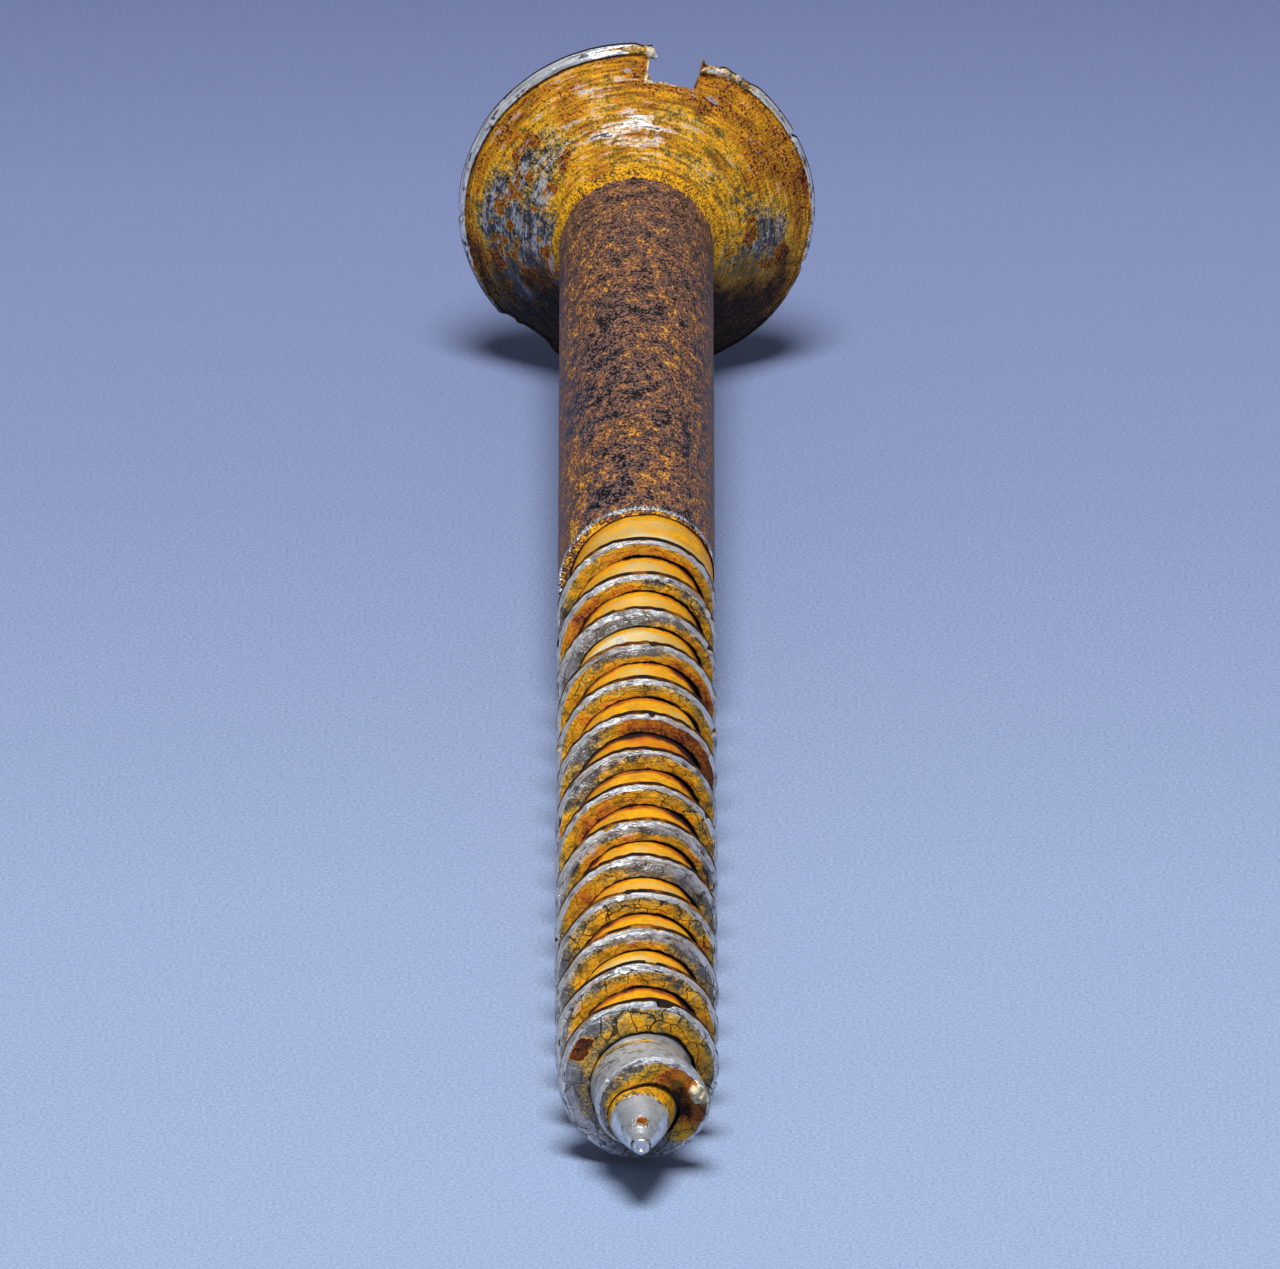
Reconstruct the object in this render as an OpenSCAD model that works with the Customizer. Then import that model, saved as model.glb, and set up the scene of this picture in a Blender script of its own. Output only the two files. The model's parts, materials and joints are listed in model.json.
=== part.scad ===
// Slotted countersunk wood screw, cut from one bar of steel and lying as it rests on a flat surface.
// Each region of the one piece is a module drawn along the screw's own axis: the flat face of the
// head is at 0 and the tip is at screw_l. lay_down() then tips that axis onto the resting surface,
// so that the rim of the head and one crest of the thread both touch z = 0.

/* [Head] */
// Diameter of the head across its rim
head_d = 14.2; // [13:0.1:15]
// Distance from the flat face to where the countersink begins
rim_h = 0.5; // [0.4:0.05:0.8]
// Length of the worn bevel between the flat face and the rim
face_bevel = 0.3; // [0.1:0.05:0.35]
// Included angle of the countersunk underside
countersink_angle = 92; // [82:1:100]
// Width of the driver slot
slot_w = 2.1; // [1.4:0.1:2.4]
// Depth of the driver slot below the flat face
slot_depth = 1.6; // [1:0.1:2.2]
// Turn of the slot from upright, clockwise when seen from the tip
slot_turn = 13.6; // [0:0.2:40]

/* [Shank] */
// Overall length from the flat face to the tip
screw_l = 90; // [75:1:110]
// Diameter of the plain shank
shank_d = 6.1; // [5.6:0.1:6.2]
// Radius of the fillet where the countersink runs into the shank
neck_r = 0.9; // [0.4:0.1:1.5]
// Length of the plain shank's end from the flat face, on the underside, where the groove starts
plain_l = 35.44; // [30:0.02:40]
// Length of the worn bevel at the shank's end
bevel_l = 0.2; // [0.1:0.05:0.5]

/* [Thread] */
// Axial distance from one crest to the next
pitch = 3.32; // [2.8:0.02:3.8]
// Diameter over the crests
thread_d = 6.24; // [6.22:0.01:6.5]
// Core diameter where the thread leaves the shank
core_top_d = 5; // [4.4:0.05:5.2]
// Core diameter where the point begins
core_low_d = 4.5; // [3.8:0.05:4.6]
// Width of the flat crest
crest_w = 0.5; // [0.2:0.05:0.8]
// Steepness of the flank that faces the tip, as axial run for each millimetre of height
lead_run = 0.25; // [0.1:0.05:0.6]
// Run of the flank that faces the head, for each millimetre of height
trail_run = 0.8; // [0.3:0.05:1]
// Sides of one turn of the thread
turn_sides = 30; // [20:10:40]

/* [Point] */
// Length of the tapered point
point_l = 8; // [6.6:0.2:10]
// Fullness of the point: 1 is a straight cone and less is rounder
point_curve = 0.6; // [0.5:0.05:1]
// Distance from the tip to the top crest of the last full turn
last_turn_u = 6.55; // [6:0.05:7]
// Distance from the tip at which the crest starts to fall
fade_from_u = 5.9; // [5:0.1:6.5]
// Distance from the tip at which the thread has run out
fade_to_u = 1.2; // [0.8:0.1:2]

/* [Hidden] */

head_r = head_d / 2;
shank_r = shank_d / 2;
thread_r = thread_d / 2;
cone_half = countersink_angle / 2;

// The fillet touches the cone and the shank at this distance from the corner they would make
neck_tangent = neck_r * tan(cone_half / 2);
neck_corner = rim_h + (head_r - shank_r) / tan(cone_half);
neck_top = neck_corner - neck_tangent * cos(cone_half);
neck_top_r = shank_r + neck_tangent * sin(cone_half);
neck_end = neck_corner + neck_tangent;

point_start = screw_l - point_l;
point_steps = 16;
round_sides = 96;

// Core radius at a distance s along the axis: a slow taper, then the curve of the point
function core_r(s) =
    s <= point_start
    ? (core_top_d + (core_low_d - core_top_d) * (s - plain_l) / (point_start - plain_l)) / 2
    : core_low_d / 2 * pow(max(screw_l - s, 0) / point_l, point_curve);

// Share of its full height that the ridge still has at s: it fades out over the point
fade_power = 1.5;
function fade(s) =
    let (w = (fade_from_u - (screw_l - s)) / (fade_from_u - fade_to_u))
    w <= 0 ? 1 : w >= 1 ? 0 : 1 - pow(w, fade_power);

function ridge_h(s) = (thread_r - core_r(s)) * fade(s);
function crest_r(s) = core_r(s) + ridge_h(s);

// The helix is counted in steps from the last full crest on the upper side, which is step 0.
// Right-handed: as it climbs towards the tip it turns anticlockwise, seen from the tip.
step_angle = 360 / turn_sides;
step_rise = pitch / turn_sides;
last_crest = screw_l - last_turn_u;
function step_s(i) = last_crest + i * step_rise;
min_crest = 0.1;
first_step = ceil((plain_l + min_crest - crest_w / 2 - last_crest) / step_rise);
last_step = floor((screw_l - fade_to_u - 0.1 - last_crest) / step_rise);

// Flat facets on a round core: their corners stand out so that their middles touch it
facet_out = 1 / cos(step_angle / 2);

// Tilt at which each crest on the under side would meet the resting surface; the least one rests
under_steps = [for (k = [-2 : 1]) (k + 0.5) * turn_sides];
function rest_tilt(i) = atan((head_r - crest_r(step_s(i))) / (step_s(i) + crest_w / 2 - rim_h));
tilt = min([for (i = under_steps) rest_tilt(i)]);
face_r = head_r - face_bevel / 2;
face_y = (screw_l * cos(tilt) - face_r * sin(tilt)) / 2;
face_z = head_r * cos(tilt) + rim_h * sin(tilt);

head_color = "#8c6a3c";
neck_color = "#b98a2e";
shank_color = "#5f4a4c";
core_color = "#d9a640";
thread_color = "#9a9b9e";
point_color = "#b4b6ba";

// Tips the screw's own axis down onto the resting surface, tip towards -Y and head towards +Y
module lay_down() {
    translate([0, face_y, face_z])
        rotate([90 + tilt, 0, 0])
            children();
}

// Countersunk head: flat face, worn bevel, short straight rim, cone, and a slot milled right across
module head() {
    slot_over = 1;
    color(head_color)
        lay_down()
            difference() {
                rotate_extrude($fn = round_sides)
                    polygon([
                        [0, 0],
                        [face_r, 0],
                        [head_r, face_bevel],
                        [head_r, rim_h],
                        [neck_top_r, neck_top],
                        [0, neck_top]
                    ]);
                rotate([0, 0, -slot_turn])
                    translate([-slot_w / 2, -head_r - slot_over, -slot_over])
                        cube([slot_w, 2 * (head_r + slot_over), slot_depth + slot_over]);
            }
}

// Short waist with the concave fillet that blends the cone into the shank
module neck() {
    color(neck_color)
        lay_down()
            rotate_extrude($fn = round_sides)
                difference() {
                    translate([0, neck_top])
                        square([neck_top_r, neck_end - neck_top]);
                    translate([shank_r + neck_r, neck_end])
                        circle(r = neck_r, $fn = round_sides);
                }
}

// Plain round shank between the neck and the first cut of the thread, with its worn lower edge
module shank() {
    color(shank_color)
        lay_down()
            rotate_extrude($fn = round_sides)
                polygon([
                    [0, neck_end],
                    [shank_r, neck_end],
                    [shank_r, plain_l - bevel_l],
                    [shank_r - bevel_l / 2, plain_l],
                    [0, plain_l]
                ]);
}

// Slowly tapering core left at the bottom of the thread groove
module thread_core() {
    color(core_color)
        lay_down()
            translate([0, 0, plain_l])
                cylinder(
                    r1 = core_r(plain_l),
                    r2 = core_r(point_start),
                    h = point_start - plain_l,
                    $fn = round_sides
                );
}

// For its first turn the groove is cut on one side only: behind the ridge all is still full shank,
// back to the shank's end face. After that turn the crest rises from the shank to its full height.
free_step = first_step + turn_sides;
rise_steps = 12;
function rise(i) = min(max((i - free_step) / rise_steps, 0), 1);

// Four corners of the ridge at one step: trailing foot, trailing crest, leading crest, leading foot
function ridge_corners(i) =
    let (
        s = step_s(i),
        top = i < free_step + rise_steps ? shank_r + (thread_r - shank_r) * rise(i) : crest_r(s),
        h = top - core_r(s),
        trail_crest = i < free_step ? plain_l : s - crest_w / 2,
        lead_crest = s + crest_w / 2,
        trail_foot = i < free_step ? plain_l : trail_crest - trail_run * h,
        lead_foot = lead_crest + lead_run * h
    )
    [
        [core_r(trail_foot) * facet_out, trail_foot],
        [top, trail_crest],
        [top, lead_crest],
        [core_r(lead_foot) * facet_out, lead_foot]
    ];

// Helical ridge, swept as one closed solid from the shank's end face to where it fades on the point
module thread() {
    corners = 4;
    steps = last_step - first_step;
    points = [
        for (i = [first_step : last_step])
            for (c = ridge_corners(i))
                [-c[0] * sin(i * step_angle), c[0] * cos(i * step_angle), c[1]]
    ];
    sides = [
        for (k = [0 : steps - 1])
            for (c = [0 : corners - 1])
                let (
                    a = k * corners + c,
                    b = k * corners + (c + 1) % corners
                )
                each [[a, a + corners, b], [b, a + corners, b + corners]]
    ];
    first_cap = [[0, 1, 2], [0, 2, 3]];
    last_cap = [for (t = first_cap) [for (v = [t[0], t[2], t[1]]) v + steps * corners]];
    color(thread_color)
        lay_down()
            polyhedron(points = points, faces = concat(sides, first_cap, last_cap));
}

// Gimlet point: the core curves down to the tip, with steps that close up towards it
module gimlet_point() {
    outline = [
        for (k = [0 : point_steps])
            let (u = point_l * pow(1 - k / point_steps, 2))
            [core_r(screw_l - u), screw_l - u]
    ];
    color(point_color)
        lay_down()
            rotate_extrude($fn = round_sides)
                polygon(concat([[0, point_start]], outline));
}

head();
neck();
shank();
thread_core();
thread();
gimlet_point();
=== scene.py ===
"""Rusted wood screw: slotted countersunk head, plain shank, cut thread and gimlet point.

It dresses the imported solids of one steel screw. Shapes are worked out in the screw's own
coordinates, in millimetres: x to the side, y up from the axis, and s along the axis from the flat
face of the head to the tip. An angle round the axis is 0 on the upper side and grows towards the
left, seen from the tip.
"""

import itertools
import json
import math

import bpy
import numpy as np
from bpy.props import FloatProperty, FloatVectorProperty, IntProperty, PointerProperty
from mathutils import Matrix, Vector


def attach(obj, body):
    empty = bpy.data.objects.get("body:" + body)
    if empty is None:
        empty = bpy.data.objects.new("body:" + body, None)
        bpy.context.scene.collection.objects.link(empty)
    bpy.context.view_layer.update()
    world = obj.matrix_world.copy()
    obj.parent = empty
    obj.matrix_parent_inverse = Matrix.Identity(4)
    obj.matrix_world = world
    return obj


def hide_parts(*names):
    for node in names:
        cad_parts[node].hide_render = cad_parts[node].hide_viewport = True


bl_info = {
    "name": "Rusted Wood Screw",
    "version": (1, 0, 0),
    "blender": (4, 5, 0),
    "location": "3D View > Sidebar > Wood Screw",
    "description": "Dresses the solids of a slotted countersunk wood screw in worn, rusted steel",
    "category": "Add Mesh",
}

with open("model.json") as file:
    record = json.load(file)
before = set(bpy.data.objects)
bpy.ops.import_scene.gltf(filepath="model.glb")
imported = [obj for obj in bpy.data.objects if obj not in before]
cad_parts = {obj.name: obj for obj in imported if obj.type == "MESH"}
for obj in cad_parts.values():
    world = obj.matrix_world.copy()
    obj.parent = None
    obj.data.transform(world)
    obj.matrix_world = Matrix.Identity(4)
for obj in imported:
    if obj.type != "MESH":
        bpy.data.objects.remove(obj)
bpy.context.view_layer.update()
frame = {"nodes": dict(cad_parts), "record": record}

MM = 0.001
FULL_TURN = 2 * math.pi


# ---------------------------------------------------------------- screw coordinates

MOUNTS = {mount["name"]: mount for mount in frame["record"]["mounts"]}
ALONG = np.array(MOUNTS["shank"]["axis"]) / np.linalg.norm(MOUNTS["shank"]["axis"])
SIDE = np.array((1.0, 0.0, 0.0))
AXES = np.array((SIDE, np.cross(ALONG, SIDE), ALONG))
SHANK_CENTRE = np.array(MOUNTS["shank"]["pos_m"])
FACE_POINT = np.array(MOUNTS["head_face"]["pos_m"])
ORIGIN = SHANK_CENTRE - ALONG * np.dot(SHANK_CENTRE - FACE_POINT, ALONG)


def to_world(places):
    """Screw coordinates in millimetres to metres in the shared frame."""
    return ORIGIN + MM * (places @ AXES)


def to_screw(points):
    """Metres in the shared frame to screw coordinates in millimetres."""
    return ((points - ORIGIN) / MM) @ AXES.T


def corners(mesh):
    """The corners of a mesh as rows of x, y, z."""
    points = np.empty(len(mesh.vertices) * 3)
    mesh.vertices.foreach_get("co", points)
    return points.reshape(-1, 3)


def node_rings(name):
    """Distance along the axis and radius of each corner of a solid."""
    places = to_screw(corners(frame["nodes"][name].data))
    return places[:, 2], np.hypot(places[:, 0], places[:, 1])


HEAD_S, HEAD_RADII = node_rings("head")
NECK_S, NECK_RADII = node_rings("neck")
CORE_S, CORE_RADII = node_rings("thread_core")
POINT_S, POINT_RADII = node_rings("gimlet_point")

HEAD_R = HEAD_RADII.max()
FACE_R = HEAD_RADII[HEAD_S < 0.01].max()
BEVEL_H = HEAD_S[HEAD_RADII > HEAD_R - 0.01].min()
RIM_H = HEAD_S[HEAD_RADII > HEAD_R - 0.01].max()
NECK_TOP = NECK_S.min()
NECK_TOP_R = NECK_RADII.max()
NECK_END = NECK_S.max()
SHANK_R = MOUNTS["shank"]["dims"]["r_mm"]
PLAIN_L = CORE_S.min()
CORE_TOP_R = CORE_RADII[CORE_S < PLAIN_L + 0.01].max()
POINT_START = POINT_S.min()
CORE_LOW_R = POINT_RADII.max()
SCREW_L = POINT_S.max()
THREAD_R = node_rings("thread")[1].max()

# Angle between the countersink and the axis
HALF_CONE = math.atan((HEAD_R - NECK_TOP_R) / (NECK_TOP - RIM_H))


# ---------------------------------------------------------------- sizes and colours


def linear(hex_colour):
    """An sRGB hex colour as the linear RGBA that shaders take."""
    channels = [int(hex_colour[i : i + 2], 16) / 255 for i in (1, 3, 5)]
    return tuple(c / 12.92 if c <= 0.04045 else ((c + 0.055) / 1.055) ** 2.4 for c in channels) + (1.0,)


def length(name, description, millimetres):
    """A length in metres that a user may change, given here in millimetres."""
    return FloatProperty(
        name=name, description=description, default=millimetres * MM, unit="LENGTH", precision=5
    )


def tilt(name, description, degrees):
    """An angle that a user may change, given here in degrees."""
    return FloatProperty(name=name, description=description, default=math.radians(degrees), subtype="ANGLE")


def colour(name, description, hex_colour):
    """A colour that a user may change."""
    return FloatVectorProperty(
        name=name,
        description=description,
        default=linear(hex_colour),
        size=4,
        min=0,
        max=1,
        subtype="COLOR",
    )


class ScrewSizes(bpy.types.PropertyGroup):
    """Sizes of the screw that its solids don't give."""

    pitch: length("Pitch", "Distance along the axis from one crest to the next", 3.32)
    last_crest: length("Last crest", "From the tip back to the last full crest on the upper side", 6.55)
    crest_w: length("Crest width", "Width of the flat that is left on top of the ridge", 0.5)
    notch: length("Notch", "Height of the gap under the flank, where it has lifted off the groove", 0.09)
    slot_w: length("Slot width", "Width of the driver slot", 2.1)
    slot_depth: length("Slot depth", "Depth of the driver slot below the flat face", 1.6)
    rim_band: length("Rim band", "Width of the worn band round the edge of the countersink", 0.3)
    tip_bend: length("Tip bend", "How far the tip is bent to the side", 0.18)
    slot_turn: tilt("Slot turn", "Turn of the slot from upright, clockwise seen from the tip", 13.6)
    turns: IntProperty(
        name="Turns", description="Crests on the upper side before the last full one", default=13, min=1
    )


class ScrewColours(bpy.types.PropertyGroup):
    """Colours of the steel and of what has grown on it."""

    # Also laid on as painted highlights on the countersink and worn band, the crest of the thread and the top
    # of the point.
    steel: colour("Steel", "Bare steel, cut or rubbed bright", "#eef1f5")
    grey_film: colour("Grey film", "Steel that has dulled without rusting", "#62616b")
    worn_steel: colour("Worn steel", "Steel that is rubbed but not bright", "#bdbbbf")
    dull_steel: colour("Dull steel", "Steel under a thin grey film", "#77716c")
    straw: colour("Straw", "First tint that a film of rust gives to steel", "#c4a04c")
    gold: colour("Gold", "Clear yellow rust stain", "#e2a20c")
    orange: colour("Orange", "Fresh granular rust", "#c56b0c")
    red_rust: colour("Red rust", "Old thick rust", "#5c250c")
    # Oldest rust; also laid on as painted shade in gaps, hollows, under the ridge's foot and on undersides.
    dark_rust_and_shade: colour("Dark rust", "Oldest rust, nearly black", "#1e0f08")
    cream: colour("Cream", "Palest stain and dry chips", "#eadfb8")
    groove_cream: colour("Groove cream", "Palest stain in the groove", "#dab96c")
    groove_gold: colour("Groove gold", "Stain in the groove", "#d8981c")
    black_scale: colour("Black scale", "Blue-black mill scale", "#15161c")
    slate_scale: colour("Slate scale", "Thinner, greyer mill scale", "#3c3942")
    mauve_scale: colour("Mauve scale", "Brown and mauve oxide of the unworked bar", "#866f70")
    tan_orange: colour("Tan orange", "Driest grains of the rust on the oxide", "#b27b45")
    brown_orange: colour("Brown orange", "Rust that breaks through the oxide", "#97613b")
    brown_scale: colour("Brown scale", "Browner patches of the oxide", "#7d5746")


class StageLook(bpy.types.PropertyGroup):
    """Light, paper and camera."""

    lens: FloatProperty(name="Lens", description="Focal length in millimetres", default=1000)
    camera_distance: length("Camera distance", "From the camera to the middle of the screw", 1370.5)
    camera_height: tilt("Camera height", "Angle at which the camera looks down", 20.994)
    aim_height: length("Aim height", "Height of the point that stands in the middle of the picture", 5.718)
    aim_back: length("Aim back", "How far that point lies towards the head", 0.659)
    aim_side: length("Aim side", "How far that point lies to the right", 0.137)
    lamp_height: tilt("Lamp height", "Angle of the soft lamp above the paper", 67)
    lamp_distance: length("Lamp distance", "From the soft lamp to the screw", 400)
    lamp_width: length("Lamp width", "Diameter of the soft lamp", 165)
    lamp_level: FloatProperty(
        name="Lamp level", description="Share of a white sheet's brightness that the lamp gives", default=1.02
    )
    sky_level: FloatProperty(
        name="Sky level", description="Brightness of the surroundings above the screw", default=0.14
    )


# ---------------------------------------------------------------- pattern and mesh helpers


def smooth(low, high, value):
    """0 up to low, 1 from high on, and an even S-curve between."""
    share = np.clip((value - low) / (high - low), 0, 1)
    return share * share * (3 - 2 * share)


def bell(value, middle, half, power=2):
    """1 at the middle, falling off over about the half width; a higher power has a flatter top."""
    return np.exp(-(((value - middle) / half) ** power))


# Large factors that scatter neighbouring cells over all 32-bit numbers
CELL_FACTORS = (374761393, 668265263, 1274126177)
SEED_FACTOR = 974634777
MIX_FACTOR = 73244475
ALL_BITS = 0xFFFFFFFF


def lattice(cell, seed):
    """A number from 0 to 1 for each whole-number cell, the same in every run."""
    mixed = sum(cell[..., k] * factor for k, factor in enumerate(CELL_FACTORS))
    mixed = (mixed + seed * SEED_FACTOR) & ALL_BITS
    for _ in range(2):
        mixed = ((mixed ^ (mixed >> 15)) * MIX_FACTOR) & ALL_BITS
    return (mixed ^ (mixed >> 16)) / ALL_BITS


def noise(places, size, seed=0, octaves=2):
    """Smooth noise from -1 to 1, whose coarsest lumps are about size across."""
    total = 0
    weight = 0
    for octave in range(octaves):
        scaled = places * (2**octave / size)
        cell = np.floor(scaled).astype(np.int64)
        share = scaled - cell
        share = share * share * (3 - 2 * share)
        value = 0
        for corner in itertools.product((0, 1), repeat=3):
            near = np.where(corner, share, 1 - share).prod(axis=-1)
            value = value + near * lattice(cell + np.array(corner), seed + octave)
        total = total + value * 0.5**octave
        weight += 0.5**octave
    return 2 * total / weight - 1


def round_axis(radius, angle, s):
    """Screw coordinates of points given by radius, angle and distance along the axis."""
    radius, angle, s = np.broadcast_arrays(radius, angle, s)
    return np.stack([-radius * np.sin(angle), radius * np.cos(angle), s], axis=-1)


def ring_angles(columns):
    """Angles of evenly spaced columns, from the upper side round by the left."""
    return np.arange(columns) * FULL_TURN / columns


def ring_turns(columns):
    """Turns at the middle of evenly spaced columns, from the underside round to it again."""
    return np.linspace(-0.5, 0.5, columns, endpoint=False) + 0.5 / columns


def signed_degrees(angle):
    """An angle in degrees, from -180 over 0 on the upper side to 180."""
    return (np.degrees(angle) + 180) % 360 - 180


def bent(places):
    """The same points with the tip bent a little to the side."""
    sizes = bpy.context.scene.screw_sizes
    bend_start = POINT_START - 2
    share = np.clip((places[..., 2] - bend_start) / (SCREW_L - bend_start), 0, 1)
    moved = places.copy()
    moved[..., 0] += sizes.tip_bend / MM * share**1.5
    return moved


def spots(angle, depth, marks):
    """Soft marks on a turned face: each is angle in degrees, depth, half sizes of both, and amount."""
    total = np.zeros(np.broadcast(angle, depth).shape)
    for at_angle, at_depth, wide, deep, amount in marks:
        off = (np.degrees(angle) - at_angle + 180) % 360 - 180
        total += amount * bell(off, 0, wide) * bell(depth, at_depth, deep)
    return total


def patched(angle, depth, patches, age, weight):
    """Mean age of the rust where soft patches overlap, over a ground with the given age and weight.

    Each patch is angle in degrees, depth, half sizes of both, its age, and how strongly it counts."""
    weighed = age * weight
    for *mark, patch_age, strength in patches:
        here = spots(angle, depth, [(*mark, strength)])
        weighed = weighed + here * patch_age
        weight = weight + here
    return weighed / weight


def sheet_object(name, rows):
    """A mesh object from a grid of screw coordinates, whose columns close up round the axis.

    The first and last rows are closed by a fan to their middle."""
    row_count, column_count = rows.shape[:2]
    index = np.arange(row_count * column_count).reshape(row_count, column_count)
    here, there = index[:-1], index[1:]
    quads = np.stack([here, np.roll(here, -1, 1), np.roll(there, -1, 1), there], axis=-1)
    points = rows.reshape(-1, 3)
    faces = quads.reshape(-1, 4).tolist()
    for ring, following in ((np.roll(index[0], -1), index[0]), (index[-1], np.roll(index[-1], -1))):
        middle = np.full(column_count, len(points))
        faces += np.stack([ring, following, middle], axis=-1).tolist()
        points = np.vstack([points, points[ring].mean(axis=0)])
    mesh = bpy.data.meshes.new(name)
    mesh.from_pydata(to_world(points).tolist(), [], faces)
    mesh.validate()
    piece = bpy.data.objects.new(name, mesh)
    bpy.context.scene.collection.objects.link(piece)
    return piece


def sharpen(piece, degrees):
    """Smooth shading, except across edges that fold more than the given angle."""
    piece.data.shade_smooth()
    piece.data.set_sharp_from_angle(angle=math.radians(degrees))


def store(piece, **fields):
    """Keeps numbers or vectors on each corner of a mesh, and its screw coordinates as the field place."""
    mesh = piece.data
    fields["place"] = to_screw(corners(mesh))
    for name, values in fields.items():
        wide = 3 if name in ("place", "strip") else 1
        kind, key = ("FLOAT_VECTOR", "vector") if wide == 3 else ("FLOAT", "value")
        filled = np.zeros(len(mesh.vertices) * wide, np.float32)
        flat = np.asarray(values, np.float32).ravel()
        filled[: len(flat)] = flat
        mesh.attributes.new(name, kind, "POINT").data.foreach_set(key, filled)


def settle(piece, node, material):
    """Gives a piece its material, and has it ride on the screw in place of a solid."""
    piece.data.materials.append(material)
    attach(piece, "root")
    if node:
        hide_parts(node)


# ---------------------------------------------------------------- material helpers


# Sockets of the Mix node: first value, second value and result
MIX_SOCKETS = {"RGBA": (6, 7, 2), "FLOAT": (2, 3, 0)}


def add_node(tree, kind, inputs=None, stops=(), **settings):
    """Adds one node with its settings; each input is a value, or a socket to link from.

    A colour ramp also has stops, each a place from 0 to 1 and a colour."""
    made = tree.nodes.new(kind)
    for name, value in settings.items():
        setattr(made, name, value)
    for socket, value in (inputs or {}).items():
        if isinstance(value, bpy.types.NodeSocket):
            tree.links.new(value, made.inputs[socket])
        else:
            made.inputs[socket].default_value = value
    if stops:
        elements = made.color_ramp.elements
        elements[0].position, elements[1].position = stops[0][0], stops[-1][0]
        for at, _ in stops[1:-1]:
            elements.new(at)
        for element, (_, tint) in zip(elements, stops):
            element.color = tint
    return made


def new_material(name, *fields):
    """An empty material, its node tree, and the numbers that it reads from the corners of the mesh."""
    material = bpy.data.materials.new(name)
    material.use_nodes = True
    tree = material.node_tree
    tree.nodes.clear()
    kept = {}
    for field in fields:
        kept[field] = add_node(tree, "ShaderNodeAttribute", attribute_name=field).outputs["Fac"]
    return material, tree, kept


def grain(tree, size, detail=3.0, stretch=(1, 1, 1), rough=0.5, field="place"):
    """Noise from 0 to 1 in screw coordinates or along a strip; size is its lumps' width in millimetres."""
    place = add_node(tree, "ShaderNodeAttribute", attribute_name=field)
    inputs = {0: place.outputs["Vector"], 1: tuple(1 / (size * k) for k in stretch)}
    scaled = add_node(tree, "ShaderNodeVectorMath", inputs, operation="MULTIPLY")
    inputs = {"Vector": scaled.outputs[0], "Scale": 1.0, "Detail": detail, "Roughness": rough}
    return add_node(tree, "ShaderNodeTexNoise", inputs).outputs["Fac"]


def roughened(tree, value, *grains):
    """A value with noises added, each with its weight; a noise of one half adds nothing."""
    for fine, weight in grains:
        centred = add_node(tree, "ShaderNodeMath", {0: fine, 1: 0.5}, operation="SUBTRACT")
        inputs = {0: centred.outputs[0], 1: weight, 2: value}
        value = add_node(tree, "ShaderNodeMath", inputs, operation="MULTIPLY_ADD").outputs[0]
    return value


def edged(tree, value, width=0.12):
    """0 where a value is under one half and 1 over it, with an edge of the given width."""
    inputs = {"Value": value, "From Min": 0.5 - width, "From Max": 0.5 + width}
    return add_node(tree, "ShaderNodeMapRange", inputs).outputs["Result"]


def aged(tree, age, stages):
    """A finish that follows the age of the rust. Each stage is its age, colour and metallic."""
    stops = [(at, (*tint[:3], metallic)) for at, tint, metallic in stages]
    ramp = add_node(tree, "ShaderNodeValToRGB", {"Fac": age}, stops)
    inputs = {"Value": age, "From Min": 0.1, "From Max": 0.7, "To Min": 0.3, "To Max": 0.72}
    worn = add_node(tree, "ShaderNodeMapRange", inputs)
    return {
        "Base Color": ramp.outputs["Color"],
        "Metallic": ramp.outputs["Alpha"],
        "Roughness": worn.outputs["Result"],
    }


def coat(tree, under, where, tint, metallic, roughness):
    """Lays one finish over another where a mask is 1. A finish is its colour, metallic and roughness."""
    over = {"Base Color": tint[:], "Metallic": metallic, "Roughness": roughness}
    result = {}
    for name, value in over.items():
        kind = "RGBA" if name == "Base Color" else "FLOAT"
        first, second, made = MIX_SOCKETS[kind]
        inputs = {0: where, first: under[name], second: value}
        result[name] = add_node(tree, "ShaderNodeMix", inputs, data_type=kind).outputs[made]
    return result


def shade(tree, finish, height, depth, hollow):
    """Ends a material: a bump of the given depth in millimetres, whose hollows are darker than its tops."""
    inputs = {"Value": height, "From Min": 0.3, "From Max": 0.7, "To Min": hollow, "To Max": 1.4}
    tone = add_node(tree, "ShaderNodeMapRange", inputs)
    inputs = {0: finish["Base Color"], "Scale": tone.outputs["Result"]}
    toned = add_node(tree, "ShaderNodeVectorMath", inputs, operation="SCALE")
    finish = {**finish, "Base Color": toned.outputs[0], "Specular IOR Level": 0.3}
    bump = add_node(tree, "ShaderNodeBump", {"Height": height, "Distance": depth * MM})
    surface = add_node(tree, "ShaderNodeBsdfPrincipled", {**finish, "Normal": bump.outputs["Normal"]})
    add_node(tree, "ShaderNodeOutputMaterial", {"Surface": surface.outputs["BSDF"]})


# ---------------------------------------------------------------- materials


def cracks_in_strip(tree):
    """Thin cracks of a crust that runs along a strip, from 0 to 1 in a crack."""
    amount = add_node(tree, "ShaderNodeAttribute", attribute_name="cracks")
    place = add_node(tree, "ShaderNodeAttribute", attribute_name="strip").outputs["Vector"]
    bend = add_node(tree, "ShaderNodeTexNoise", {"Vector": place, "Scale": 1.3, "Detail": 3.0})
    inputs = {0: bend.outputs["Color"], 1: (0.7, 0.7, 0.7), 2: place}
    bent_place = add_node(tree, "ShaderNodeVectorMath", inputs, operation="MULTIPLY_ADD")
    inputs = {"Vector": bent_place.outputs[0], "Scale": 1.0}
    cells = add_node(tree, "ShaderNodeTexVoronoi", inputs, feature="DISTANCE_TO_EDGE")
    inputs = {"Value": cells.outputs["Distance"], "From Min": 0.01, "From Max": 0.03}
    line = add_node(tree, "ShaderNodeMapRange", {**inputs, "To Min": 1.0, "To Max": 0.0})
    inputs = {0: line.outputs["Result"], 1: amount.outputs["Fac"]}
    return add_node(tree, "ShaderNodeMath", inputs, operation="MULTIPLY").outputs[0]


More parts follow.
